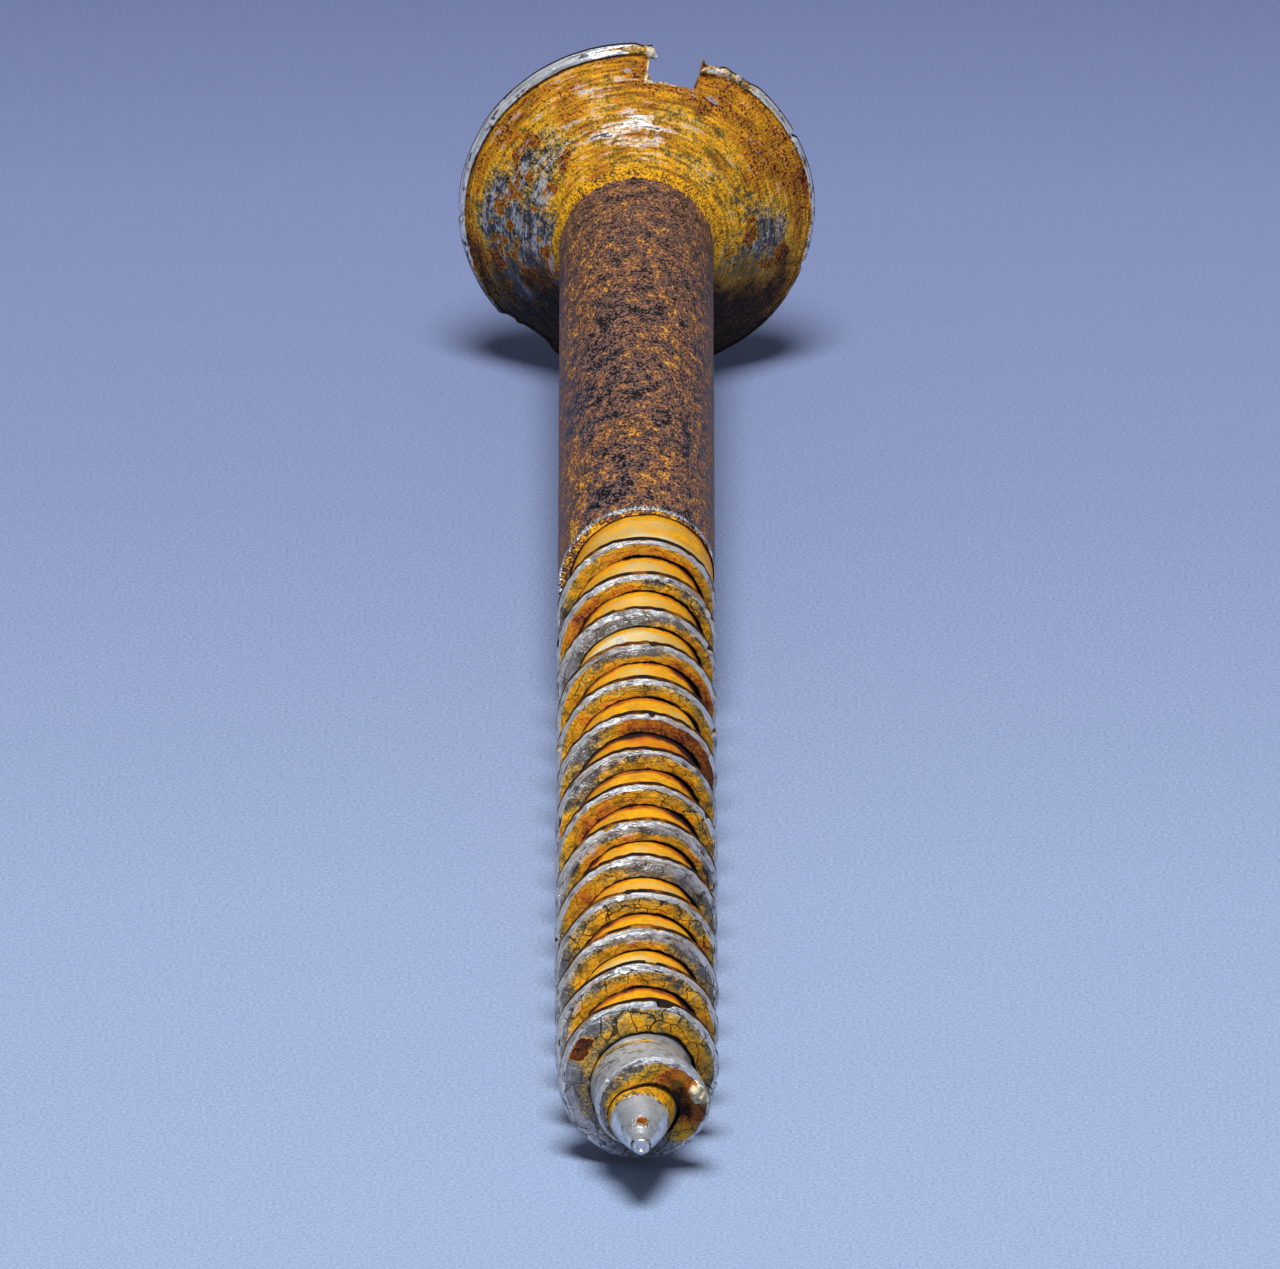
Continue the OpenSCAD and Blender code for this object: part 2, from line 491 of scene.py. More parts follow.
def rusted_steel(
    name,
    film,
    marks_size,
    marks_stretch,
    streaks=1.0,
    lump_size=0.34,
    scores=0.32,
    bright_metal=0.5,
    cracked=False,
):
    """Carbon steel, turned or cut, rusting: bright where rubbed, then straw, gold, orange and brown.

    It gives the eye silver tool marks under a yellow film, and crusts of orange and black grains.
    The film is the colour where no rust has formed. The tool marks have a size in millimetres, a
    stretch along each axis and a strength, streaks. The more scores, the more dark lines cross the
    bright parts. A cracked crust follows the strip of the thread.
    """
    colours = bpy.context.scene.screw_colours
    material, tree, kept = new_material(name, "age", "grit", "bright", "pale", "dark")
    field = "strip" if cracked else "place"
    crumbs = grain(tree, 0.1, detail=2, rough=0.6)
    lumps = grain(tree, lump_size, detail=4, rough=0.62)
    marks = grain(tree, marks_size, detail=3, stretch=marks_stretch, field=field)
    wide_stretch = tuple(k**0.7 for k in marks_stretch)
    wide_marks = grain(tree, 2.2 * marks_size, detail=2, stretch=wide_stretch, field=field)
    inputs = {"Value": kept["age"], "From Min": 0.1, "From Max": 0.35, "To Min": 0.45, "To Max": 1.05}
    blotchy = add_node(tree, "ShaderNodeMapRange", inputs).outputs["Result"]
    rusted = {"Value": kept["age"], "From Min": 0.48, "From Max": 0.64}
    inputs = {**rusted, "To Min": -0.45 * streaks, "To Max": -0.1 * streaks}
    streaky = add_node(tree, "ShaderNodeMapRange", inputs).outputs["Result"]
    mixed = roughened(tree, kept["age"], (crumbs, kept["grit"]), (lumps, blotchy), (marks, streaky))
    youngest = add_node(tree, "ShaderNodeMath", {0: kept["age"], 1: 0.1}, operation="SUBTRACT")
    inputs = {0: mixed, 1: youngest.outputs[0]}
    age = add_node(tree, "ShaderNodeMath", inputs, operation="MAXIMUM").outputs[0]
    stages = (
        (0.0, film, 0.6),
        (0.14, colours.dull_steel, 0.5),
        (0.29, colours.straw, 0.15),
        (0.4, colours.gold, 0.0),
        (0.52, colours.gold, 0.0),
        (0.64, colours.orange, 0.0),
        (0.8, colours.red_rust, 0.0),
        (0.97, colours.dark_rust_and_shade, 0.0),
    )
    finish = aged(tree, age, stages)
    rubbed = 0.8 * streaks
    # The bright mask lays on bare steel: worn bands and rubbed spots, and also painted highlights on the
    # countersink, the crest and the point.
    bright = roughened(tree, kept["bright"], (wide_marks, rubbed), (marks, rubbed), (lumps, 0.8))
    bright = edged(tree, bright, 0.16)
    finish = coat(tree, finish, bright, colours.steel, metallic=bright_metal, roughness=0.28)
    scored = edged(tree, roughened(tree, scores, (marks, 1.3), (lumps, 0.9)), 0.08)
    scored = add_node(tree, "ShaderNodeMath", {0: scored, 1: bright}, operation="MULTIPLY").outputs[0]
    finish = coat(tree, finish, scored, colours.slate_scale, metallic=0.3, roughness=0.5)
    pale = edged(tree, roughened(tree, kept["pale"], (crumbs, 1.0), (lumps, 0.5)), 0.15)
    finish = coat(tree, finish, pale, colours.cream, metallic=0.0, roughness=0.6)
    # The dark mask lays on dark rust and also painted shade: in the gap and on the underside of the head,
    # under the ridge's foot, in hollows and on the underside of the turns.
    dark = edged(tree, roughened(tree, kept["dark"], (crumbs, 0.7), (lumps, 0.7)), 0.2)
    finish = coat(tree, finish, dark, colours.dark_rust_and_shade, metallic=0.0, roughness=0.8)
    inputs = {"Value": bright, "To Min": 0.9, "To Max": 0.12}
    crusty = add_node(tree, "ShaderNodeMapRange", inputs).outputs["Result"]
    inputs = {"Value": bright, "To Min": 0.4 if cracked else 0.9, "To Max": 0.12}
    crumbly = add_node(tree, "ShaderNodeMapRange", inputs).outputs["Result"]
    inputs = {**rusted, "To Min": 0.8 * streaks + 0.1, "To Max": 0.2 * streaks}
    ringed = add_node(tree, "ShaderNodeMapRange", inputs).outputs["Result"]
    height = roughened(tree, 0.5, (crumbs, crumbly), (marks, ringed), (lumps, crusty))
    if cracked:
        line = cracks_in_strip(tree)
        finish = coat(tree, finish, line, colours.dark_rust_and_shade, metallic=0.0, roughness=0.8)
        height = add_node(tree, "ShaderNodeMath", {0: height, 1: line}, operation="SUBTRACT").outputs[0]
    shade(tree, finish, height, depth=0.1, hollow=0.25)
    return material


def scaled_steel():
    """Drawn steel bar, never machined: mauve-brown oxide with blue-black scale flaking off.

    It gives the eye a dull, speckled skin with orange rust breaking through in patches.
    """
    colours = bpy.context.scene.screw_colours
    material, tree, kept = new_material("scaled_steel_bar", "age", "bright", "dark")
    specks = grain(tree, 0.08, detail=2, stretch=(1.4, 1, 1.8), rough=0.6)
    patches = grain(tree, 0.42, detail=5, stretch=(1.3, 1, 1.8), rough=0.7)
    age = roughened(tree, kept["age"], (specks, 2.0), (patches, 2.2))
    stages = (
        (0.05, colours.black_scale, 0.2),
        (0.24, colours.slate_scale, 0.25),
        (0.38, colours.mauve_scale, 0.15),
        (0.52, colours.brown_scale, 0.05),
        (0.7, colours.brown_orange, 0.0),
        (0.88, colours.tan_orange, 0.0),
        (1.0, colours.gold, 0.0),
    )
    finish = aged(tree, age, stages)
    bright = edged(tree, roughened(tree, kept["bright"], (specks, 0.9)), 0.15)
    finish = coat(tree, finish, bright, colours.steel, metallic=0.75, roughness=0.36)
    # The dark mask here is painted shade: one half of the shank's nick, the faces under the first flank and
    # the underside of the neck.
    dark = edged(tree, roughened(tree, kept["dark"], (specks, 0.9)), 0.2)
    finish = coat(tree, finish, dark, colours.dark_rust_and_shade, metallic=0.0, roughness=0.8)
    height = roughened(tree, 0.5, (specks, 1.4), (patches, 0.8))
    shade(tree, finish, height, depth=0.08, hollow=0.2)
    return material


def stained_groove():
    """Bottom of the cut thread: smooth steel under a clear yellow rust stain.

    It gives the eye a waxy gold that pales to cream and turns orange and brown beside the flanks.
    """
    colours = bpy.context.scene.screw_colours
    material, tree, kept = new_material("gold_stained_steel", "age", "dark")
    fine = grain(tree, 0.12, detail=3)
    soft = grain(tree, 0.7, detail=3)
    age = roughened(tree, kept["age"], (fine, 0.25), (soft, 0.55))
    stages = (
        (0.0, colours.steel, 0.5),
        (0.08, colours.cream, 0.0),
        (0.24, colours.groove_cream, 0.0),
        (0.45, colours.groove_gold, 0.0),
        (0.6, colours.gold, 0.0),
        (0.75, colours.orange, 0.0),
        (0.9, colours.red_rust, 0.0),
        (1.0, colours.dark_rust_and_shade, 0.0),
    )
    finish = aged(tree, age, stages)
    # The dark mask is the painted shadow of the ridge's lifted foot, just below it in the groove.
    dark = edged(tree, roughened(tree, kept["dark"], (fine, 0.8)), 0.2)
    finish = coat(tree, finish, dark, colours.dark_rust_and_shade, metallic=0.0, roughness=0.8)
    height = roughened(tree, 0.5, (fine, 0.5), (soft, 0.6))
    shade(tree, finish, height, depth=0.03, hollow=0.7)
    return material


# ---------------------------------------------------------------- head


def polyline(points, spacing):
    """Points every spacing or less along a line through the given points."""
    line = [np.array(points[0], float)]
    for start, end in zip(points, points[1:]):
        start, end = np.array(start, float), np.array(end, float)
        count = max(1, math.ceil(np.linalg.norm(end - start) / spacing))
        line += [start + (end - start) * k / count for k in range(1, count + 1)]
    return np.array(line)


def rim_band(angle):
    """Width of the worn band round the countersink: widest at the upper left, narrow at the right."""
    sizes = bpy.context.scene.screw_sizes
    return sizes.rim_band / MM * (0.8 + 0.4 * np.cos(angle - math.radians(25)))


# Dents and chips in the rim: angle in degrees, half width in degrees, depth in millimetres
RIM_DENTS = (
    (143, 8, 0.38),
    (133, 2.5, 0.2),
    (92, 1.2, 0.1),
    (-26, 3.5, 0.36),
    (-36, 6, 0.12),
    (-63, 1.0, 0.14),
    (-110, 1.4, 0.1),
    (-3, 2.5, 0.1),
)


def head_rows(columns):
    """The turned head: flat face, rim, worn band, gap line and countersink, before the slot is cut."""
    middle_r = 0.05
    calm_r = 5.5
    rim_r = HEAD_R - 0.02
    face = polyline([(middle_r, 0), (calm_r, 0)], 0.45)[:-1]
    edge = polyline([(calm_r, 0), (FACE_R, 0)], 0.12)[:-1]
    rim = polyline([(FACE_R, 0), (rim_r, BEVEL_H), (HEAD_R, RIM_H - 0.1), (rim_r, RIM_H)], 0.05)
    cone = polyline([(rim_r, RIM_H), (NECK_TOP_R, NECK_TOP)], 0.05)[1:]
    inside = polyline([(NECK_TOP_R, NECK_TOP), (0.5, NECK_TOP)], 1.0)[1:]
    outline = np.vstack([face, edge, rim, cone, inside])
    angle = ring_angles(columns)
    radius = outline[:, :1] + np.zeros(columns)
    s = outline[:, 1:] + np.zeros(columns)
    places = round_axis(radius, angle, s)
    on_cone = (s >= RIM_H - 0.001) * (s < NECK_TOP + 0.001) * (radius >= NECK_TOP_R - 0.001)
    depth = HEAD_R - radius
    wander = noise(places, 0.7, 5, 3)
    share = depth / (rim_band(angle) * (1 + 0.25 * wander))
    bead = 0.035 * np.clip(1 - (2 * share - 1) ** 2, 0, 1)
    gap = 0.075 * bell(share, 1.12, 0.16)
    beyond = smooth(1.1, 1.5, share)
    rings = 0.012 * noise(places * (0.12, 0.12, 1), 0.14, 11) + 0.01 * noise(places * (0.1, 0.1, 1), 0.4, 12)
    crust = 0.02 * noise(places, 0.2, 21, 3) + 0.03 * noise(places * (0.6, 0.6, 1), 0.7, 22, 3)
    away = on_cone * (bead - gap + (rings + crust) * beyond) * smooth(NECK_TOP, NECK_TOP - 0.2, s)
    radius = radius + away * math.cos(HALF_CONE)
    s = s + away * math.sin(HALF_CONE)
    dent = 0.03 * (1 + noise(round_axis(HEAD_R, angle, 0.0), 1.3, 31, 3))
    for at, wide, deep in RIM_DENTS:
        dent = dent + deep * bell(signed_degrees(angle), at, wide, 4)
    radius = radius - dent * smooth(1.2, 0.1, depth) * (radius > 3)
    on_face = (outline[:, 1] < 0.02)[:, None] & (radius > 0.1)
    s = s + on_face * 0.02 * (1 + noise(places, 0.8, 41, 3))
    return round_axis(np.minimum(radius, HEAD_R), angle, np.maximum(s, 0))


def slot_cutter():
    """The bar of space that the slot takes out of the head, with the ragged walls of the real slot."""
    sizes = bpy.context.scene.screw_sizes
    half = sizes.slot_w / MM / 2
    floor = sizes.slot_depth / MM
    over = 1.0
    low = [(half, floor - 0.25), (half - 0.25, floor), (0.3 - half, floor), (-half, floor - 0.3)]
    section = polyline([(-half, -over), (half, -over), *low, (-half, -over)], 0.08)[:-1]
    along = np.arange(-HEAD_R - over, HEAD_R + over, 0.08)
    across = section[:, 0] + np.zeros((len(along), 1))
    deep = section[:, 1] + np.zeros((len(along), 1))
    run = along[:, None] + np.zeros(len(section))
    places = np.stack([across, run, deep], axis=-1)
    ragged = 0.04 + 0.2 * smooth(HEAD_R - 1.8, HEAD_R - 0.4, run)
    for axis, seed in ((0, 61), (2, 62)):
        places[..., axis] += ragged * noise(places, 0.6, seed, 3)
    turn = sizes.slot_turn
    x = places[..., 0] * math.cos(turn) + places[..., 1] * math.sin(turn)
    y = -places[..., 0] * math.sin(turn) + places[..., 1] * math.cos(turn)
    rows = np.stack([x, y, places[..., 2]], axis=-1)
    return sheet_object("slot_space", rows[::-1])


def slot_distance(places):
    """How far a point lies outside the walls and floor of the slot; negative inside it."""
    sizes = bpy.context.scene.screw_sizes
    turn = sizes.slot_turn
    across = places[..., 0] * math.cos(turn) - places[..., 1] * math.sin(turn)
    return np.maximum(np.abs(across) - sizes.slot_w / MM / 2, places[..., 2] - sizes.slot_depth / MM)


# Patches of the countersink: angle in degrees, distance from the rim, half sizes of both, age of the
# rust there, and how strongly the patch counts
HEAD_PATCHES = (
    (38, 0.85, 13, 0.4, 0.47, 1.4),
    (14, 0.8, 14, 0.45, 0.57, 1.0),
    (-2, 1.85, 7, 0.35, 0.5, 1.4),
    (-13, 1.4, 11, 0.2, 0.58, 1.6),
    (2, 2.75, 15, 0.5, 0.4, 2.0),
    (-12, 2.2, 10, 0.4, 0.42, 1.0),
    (16, 1.5, 9, 0.35, 0.4, 0.9),
    (27, 2.1, 7, 0.4, 0.52, 1.2),
    (45, 1.6, 8, 0.4, 0.42, 0.9),
    (47, 2.6, 9, 0.5, 0.12, 2.2),
    (66, 2.1, 15, 0.75, 0.08, 3.0),
    (93, 2.15, 22, 1.5, 0.02, 4.0),
    (60, 0.8, 9, 0.4, 0.62, 2.2),
    (82, 0.5, 16, 0.36, 0.68, 4.5),
    (106, 0.5, 14, 0.36, 0.74, 4.5),
    (66, 1.3, 5, 0.3, 0.66, 1.4),
    (126, 1.8, 16, 1.4, 0.06, 2.4),
    (52, 3.35, 17, 0.45, 0.46, 2.6),
    (0, 3.72, 60, 0.14, 0.46, 2.0),
    (-38, 3.4, 16, 0.35, 0.46, 2.0),
    (-66, 3.1, 20, 0.6, 0.47, 2.6),
    (-30, 2.4, 12, 0.6, 0.4, 1.0),
    (-48, 2.2, 13, 0.7, 0.42, 1.2),
    (-36, 0.9, 11, 0.5, 0.62, 2.0),
    (-58, 0.9, 15, 0.65, 0.66, 2.8),
    (-84, 0.6, 16, 0.5, 0.67, 2.4),
    (-78, 1.7, 12, 0.5, 0.58, 1.4),
    (-97, 2.0, 15, 1.0, 0.06, 3.2),
    (-112, 0.3, 14, 0.25, 0.6, 1.2),
    # The last two patches, old dark rust round the underside, also stand for painted shade there.
    (-122, 1.7, 18, 1.3, 0.7, 1.2),
    (170, 1.6, 30, 2.0, 0.75, 1.2),
)
# Blisters of old rust on the grey side: angle in degrees, distance from the rim, half sizes of both
HEAD_BLISTERS = (
    (90, 2.05, 3.5, 0.24),
    (98, 3.45, 5, 0.2),
    (114, 2.5, 5, 0.4),
    (122, 3.0, 6, 0.4),
    (104, 1.2, 3, 0.25),
    (62, 2.2, 2.5, 0.2),
    (58, 3.0, 3, 0.2),
    (76, 2.9, 2, 0.15),
    (40, 2.9, 4, 0.2),
    (-30, 1.7, 3, 0.18),
    (-92, 2.6, 5, 0.3),
    (-104, 1.2, 5, 0.3),
)
# Painted highlights where the lamp's reflection falls on the countersink, laid on as brighter steel: the same
# numbers, and how much
HEAD_HIGHLIGHTS = (
    (4, 2.6, 22, 0.7, 0.4),
    (52, 2.5, 8, 0.4, 0.3),
    (66, 3.0, 6, 0.3, 0.26),
    (14, 1.2, 12, 0.4, 0.2),
)


def head_fields(places):
    """Age of the rust on the head, and where it is gritty, bright, pale and dark."""
    angle = np.arctan2(-places[:, 0], places[:, 1])
    degrees = np.degrees(angle)
    depth = HEAD_R - np.hypot(places[:, 0], places[:, 1])
    s = places[:, 2]
    wobble = places + 0.35 * np.stack([noise(places, 1.1, seed, 3) for seed in (65, 66, 67)], axis=-1)
    loose_angle = np.arctan2(-wobble[:, 0], wobble[:, 1])
    loose_depth = HEAD_R - np.hypot(wobble[:, 0], wobble[:, 1])
    lump = noise(places * (0.5, 0.5, 1), 0.7, 71, 4)
    age = patched(loose_angle, loose_depth, HEAD_PATCHES, 0.42, 0.12) + 0.26 * lump
    blister = spots(loose_angle, loose_depth, [(*mark, 1.5) for mark in HEAD_BLISTERS])
    scattered = smooth(0.1, 0.2, noise(places, 0.6, 73, 4)) * smooth(0.38, 0.25, age)
    blister = blister + 0.4 * lump + 0.6 * noise(places, 0.28, 74, 3)
    age = np.maximum(age, smooth(0.5, 0.68, blister) * 0.7)
    bare = smooth(0.24, 0.08, age)
    age = np.maximum(age, 0.66 * scattered)
    share = depth / rim_band(angle)
    on_band = smooth(1.0, 0.88, share) * (s > RIM_H - 0.02)
    # Painted shade: the rim's outer face, the gap line inside the worn band and the underside of the
    # countersink are laid on as dark, and the underside is made less bright.
    shaded_rim_face = (s < RIM_H - 0.01) & (depth < 0.3)
    lower = smooth(82, 135, np.abs(degrees) + 22 * lump)
    in_slot = (slot_distance(places) < 0.2) & (s < 1.9)
    beside_slot = bell(slot_distance(places), 0, 0.07) * (places[:, 1] > 3) * (s > RIM_H - 0.1)
    # Painted highlights on the countersink, laid on as bright steel.
    painted_highlight = spots(angle, depth, HEAD_HIGHLIGHTS)
    gap = bell(share, 1.1, 0.2) * (s > RIM_H)
    # Painted highlight: the worn band is brighter towards the upper left, where the lamp's reflection falls
    # on it.
    band_bare_and_highlight = 0.6 + 0.25 * np.cos(angle - math.radians(25)) + 0.4 * noise(places, 0.5, 75, 3)
    age = np.where(on_band > 0.5, 0.18 + 0.2 * smooth(0.3, 0.6, noise(places, 0.6, 76, 2)), age)
    age = np.where(in_slot, 0.6 + 0.2 * lump, age)
    age = np.where(s < 0.1, 0.55 + 0.25 * lump, age)
    return {
        "age": age,
        "grit": np.clip(0.6 + 1.5 * smooth(0.4, 0.62, age) - 0.9 * smooth(2.6, 3.2, depth), 0.5, 2.0),
        "bright": on_band * band_bare_and_highlight + (painted_highlight + 0.2 * bare) * (s > RIM_H) + 0.15 - 0.14 * lower,
        "pale": beside_slot * (0.35 + 0.4 * smooth(-20, 0, degrees)),
        "dark": np.maximum(0.85 * gap * smooth(120, 60, np.abs(degrees - 10)), 0.9 * shaded_rim_face) + 0.7 * lower,
    }


# Burrs that the saw left at the two ends of the slot: for points along each, the angle in degrees,
# the radius, the distance from the face and the half thickness
SLOT_BURRS = (
    (
        (12, 6.93, 0.62, 0.04),
        (6, 6.92, 0.63, 0.12),
        (1, 6.9, 0.66, 0.15),
        (-3.2, 6.86, 0.7, 0.2),
        (-5.6, 6.8, 0.76, 0.2),
        (-7, 6.72, 0.84, 0.09),
    ),
    (
        (-22.6, 6.55, 0.95, 0.08),
        (-24.5, 6.66, 0.8, 0.17),
        (-27, 6.74, 0.72, 0.19),
        (-32, 6.82, 0.68, 0.17),
        (-38, 6.87, 0.64, 0.15),
        (-44, 6.92, 0.58, 0.1),
        (-49, 6.96, 0.54, 0.04),
    ),
)


def burr_rows(points):
    """A ragged, flattened sliver of metal through the given points."""
    steps = np.linspace(0, len(points) - 1, 26 * (len(points) - 1))
    table = np.array(points)
    at, radius, s, half = [np.interp(steps, np.arange(len(points)), table[:, k]) for k in range(4)]
    turn = ring_angles(20)
    out = half[:, None] * np.cos(turn)
    along = 0.75 * half[:, None] * np.sin(turn)
    places = round_axis(radius[:, None] + out, np.radians(at)[:, None], s[:, None] + along)
    swell = 1 + 0.9 * noise(places, 0.25, 63, 3) + 0.4 * noise(places, 0.6, 64, 2)
    reach = np.minimum(radius[:, None] + out * swell, HEAD_R)
    return round_axis(reach, np.radians(at)[:, None], s[:, None] + along * swell)


def cut_away(piece, cutter):
    """Takes the cutter's shape out of a piece, and then removes the cutter."""
    cut = piece.modifiers.new("cut", "BOOLEAN")
    cut.operation = "DIFFERENCE"
    cut.solver = "EXACT"
    cut.object = cutter
    finished = piece.evaluated_get(bpy.context.evaluated_depsgraph_get())
    mesh = bpy.data.meshes.new_from_object(finished)
    piece.modifiers.clear()
    piece.data = mesh
    bpy.data.objects.remove(cutter)


class BuildHead(bpy.types.Operator):
    """Builds the slotted countersunk head with its worn rim and the burrs of its slot"""

    bl_idname = "wood_screw.head"
    bl_label = "Head"

    def execute(self, context):
        """Turns the head, cuts the slot out of it and rusts it."""
        piece = sheet_object("countersunk_head", head_rows(columns=630))
        cut_away(piece, slot_cutter())
        sharpen(piece, 42)
        store(piece, **head_fields(to_screw(corners(piece.data))))
        film = context.scene.screw_colours.grey_film
        material = rusted_steel("rusted_turned_steel", film, marks_size=0.09, marks_stretch=(14, 14, 1))
        settle(piece, "head", material)
        for name, points in zip(("slot_burr_left", "slot_burr_right"), SLOT_BURRS):
            rows = burr_rows(points)
            burr = sheet_object(name, rows)
            sharpen(burr, 60)
            patchy = 0.5 * noise(rows, 0.3, 68, 2)
            silver = np.linspace(0.1, 0.5, len(rows))[:, None] if name.endswith("left") else 0.45
            grit = np.full_like(patchy, 0.9)
            store(burr, age=0.4 + patchy, grit=grit, bright=silver + patchy, pale=0.3 + patchy)
            settle(burr, None, material)
        return {"FINISHED"}


# ---------------------------------------------------------------- neck and shank


def bar_steel():
    """The one material of the neck and the shank, made when it is first needed."""
    return bpy.data.materials.get("scaled_steel_bar") or scaled_steel()


class BuildNeck(bpy.types.Operator):
    """Builds the fillet between the countersink and the shank"""

    bl_idname = "wood_screw.neck"
    bl_label = "Neck"

    def execute(self, context):
        """Sweeps the fillet round the axis."""
        angle = ring_angles(480)
        fillet_r = (NECK_END - NECK_TOP) / math.sin(HALF_CONE)
        turn = np.linspace(HALF_CONE, 0, 20)
        fillet = np.stack([SHANK_R + fillet_r * (1 - np.cos(turn)), NECK_END - fillet_r * np.sin(turn)], -1)
        above, below = NECK_TOP - 0.3, NECK_END + 0.3
        lead, close = [(0.5, above), (2.9, above)], [(2.9, below), (0.5, below)]
        outline = np.vstack([lead, fillet, close])
        places = round_axis(outline[:, :1], angle, outline[:, 1:])
        rough = 0.012 * noise(places, 0.3, 81, 3)
        places = round_axis(outline[:, :1] + rough, angle, outline[:, 1:])
        piece = sheet_object("neck_fillet", places)
        sharpen(piece, 42)
        degrees = np.degrees(np.arctan2(-places[..., 0], places[..., 1]))
        down = (places[..., 2] - NECK_TOP) / (NECK_END - NECK_TOP)
        side = bell(degrees, 58, 30) + bell(degrees, -66, 34)
        line = smooth(0.9, 0.62, down + 0.25 * noise(places, 0.5, 82, 3) - 0.12 * side)
        # Painted shade: the underside is darker and its gold line weaker.
        lower = smooth(100, 140, np.abs(degrees))
        store(piece, age=0.4 + line * (0.75 - 0.45 * lower), dark=0.4 * lower)
        settle(piece, "neck", bar_steel())
        return {"FINISHED"}


def turn_centre(turn):
    """Distance along the axis of the middle of the crest, at a count of turns along the ridge."""
    sizes = bpy.context.scene.screw_sizes
    return SCREW_L - sizes.last_crest / MM + sizes.pitch / MM * (turn - sizes.turns)


# The thread is cut deeper and deeper from this turn to that one, counted from the first upper crest
CUT_START, CUT_FULL = -1.5, -0.5


def core_radius(s):
    """Radius of the core: a slow taper, then the curve of the point."""
    taper = CORE_TOP_R + (CORE_LOW_R - CORE_TOP_R) * (s - PLAIN_L) / (POINT_START - PLAIN_L)
    curve = CORE_LOW_R * (np.clip(SCREW_L - s, 0, None) / (SCREW_L - POINT_START)) ** 0.6
    return np.where(s < POINT_START, taper, curve)


def groove_radius(s, turn):
    """Radius of the groove's floor, which rises to the shank where the cut begins."""
    cut = smooth(CUT_START, CUT_FULL, turn)
    return SHANK_R + (core_radius(s) - SHANK_R) * cut


# Patches of the shank's oxide: angle in degrees, distance along the axis, half sizes of both, age of
# the rust there (black scale is 0, bare oxide 0.4, rust 0.7) and how strongly the patch counts
SHANK_PATCHES = (
    (30, 6.6, 13, 0.5, 0.55, 1.6),
    (5, 6.2, 30, 1.0, 0.4, 1.0),
    (48, 11.5, 11, 3.0, 0.62, 1.4),
    (38, 16, 12, 2.2, 0.6, 1.0),
    (-10, 12, 25, 3.0, 0.47, 0.8),
    (-45, 9.5, 22, 5, 0.42, 1.0),
    (25, 18.4, 22, 0.8, 0.24, 1.4),
    (-8, 17.6, 14, 0.7, 0.24, 1.2),
    (42, 17.6, 8, 0.7, 0.66, 1.4),
    (25, 21.5, 14, 1.2, 0.2, 1.4),
    (-5, 21, 14, 1.4, 0.5, 1.0),
    (-35, 21.5, 14, 1.6, 0.56, 1.0),
    (5, 24.6, 26, 1.2, 0.33, 1.0),
    (45, 25.8, 14, 1.6, 0.18, 1.4),
    (33, 28.2, 16, 0.45, 0.15, 1.6),
    (36, 26.9, 10, 0.4, 0.66, 1.6),
    (8, 29.4, 13, 0.7, 0.72, 1.8),
    (-12, 28, 9, 0.9, 0.5, 0.8),
    (50, 30.5, 9, 1.8, 0.64, 1.8),
    (-22, 28.8, 8, 0.8, 0.24, 1.2),
    (5, 32.3, 18, 0.6, 0.28, 1.4),
    (44, 33.0, 9, 0.8, 0.74, 1.8),
    (-14, 33.0, 8, 0.6, 0.72, 1.6),
    (-22, 31.6, 9, 0.5, 0.66, 1.0),
    (22, 35.4, 16, 0.8, 0.14, 2.0),
    (-4, 34.6, 8, 0.6, 0.68, 1.4),
    (52, 35.8, 8, 1.6, 0.7, 1.8),
    (-30, 36, 22, 1.2, 0.42, 1.6),
    (-78, 22, 14, 16, 0.4, 1.2),
    (78, 22, 12, 16, 0.44, 1.2),
)


def shank_section(edge, foot_r):
    """Radius and distance along the axis of the shank's wall, lower edge and the flank under it."""
    start = NECK_END - 0.02
    bevel_h, bevel_deep, flank_h = 0.12, 0.06, 0.14
    columns = np.zeros(len(edge))
    wall_s = start + (edge - bevel_h - start) * np.linspace(0, 1, 225)[:, None]
    bend = np.linspace(0, math.pi / 2, 5)[1:, None]
    corner_s = edge - bevel_h + bevel_h * np.sin(bend)
    corner_r = SHANK_R - bevel_deep * (1 - np.cos(bend)) + columns
    drop = np.linspace(0, 1, 14)[1:, None]
    flank_r = corner_r[-1] + (foot_r - corner_r[-1]) * drop
    flank_s = edge + flank_h * drop
    under_r = foot_r - np.array([0.02, 0.2])[:, None]
    under_s = flank_s[-1] - np.array([0.12, 0.3])[:, None]
    inner_r = np.array([2.0, 0.5])[:, None] + columns
    wall_r = np.full_like(wall_s, SHANK_R)
    radius = np.vstack([inner_r[::-1], wall_r, corner_r, flank_r, under_r, inner_r])
    inner_s = np.zeros_like(inner_r)
    s = np.vstack([inner_s + start, wall_s, corner_s, flank_s, under_s, inner_s + PLAIN_L - 3])
    return radius, s


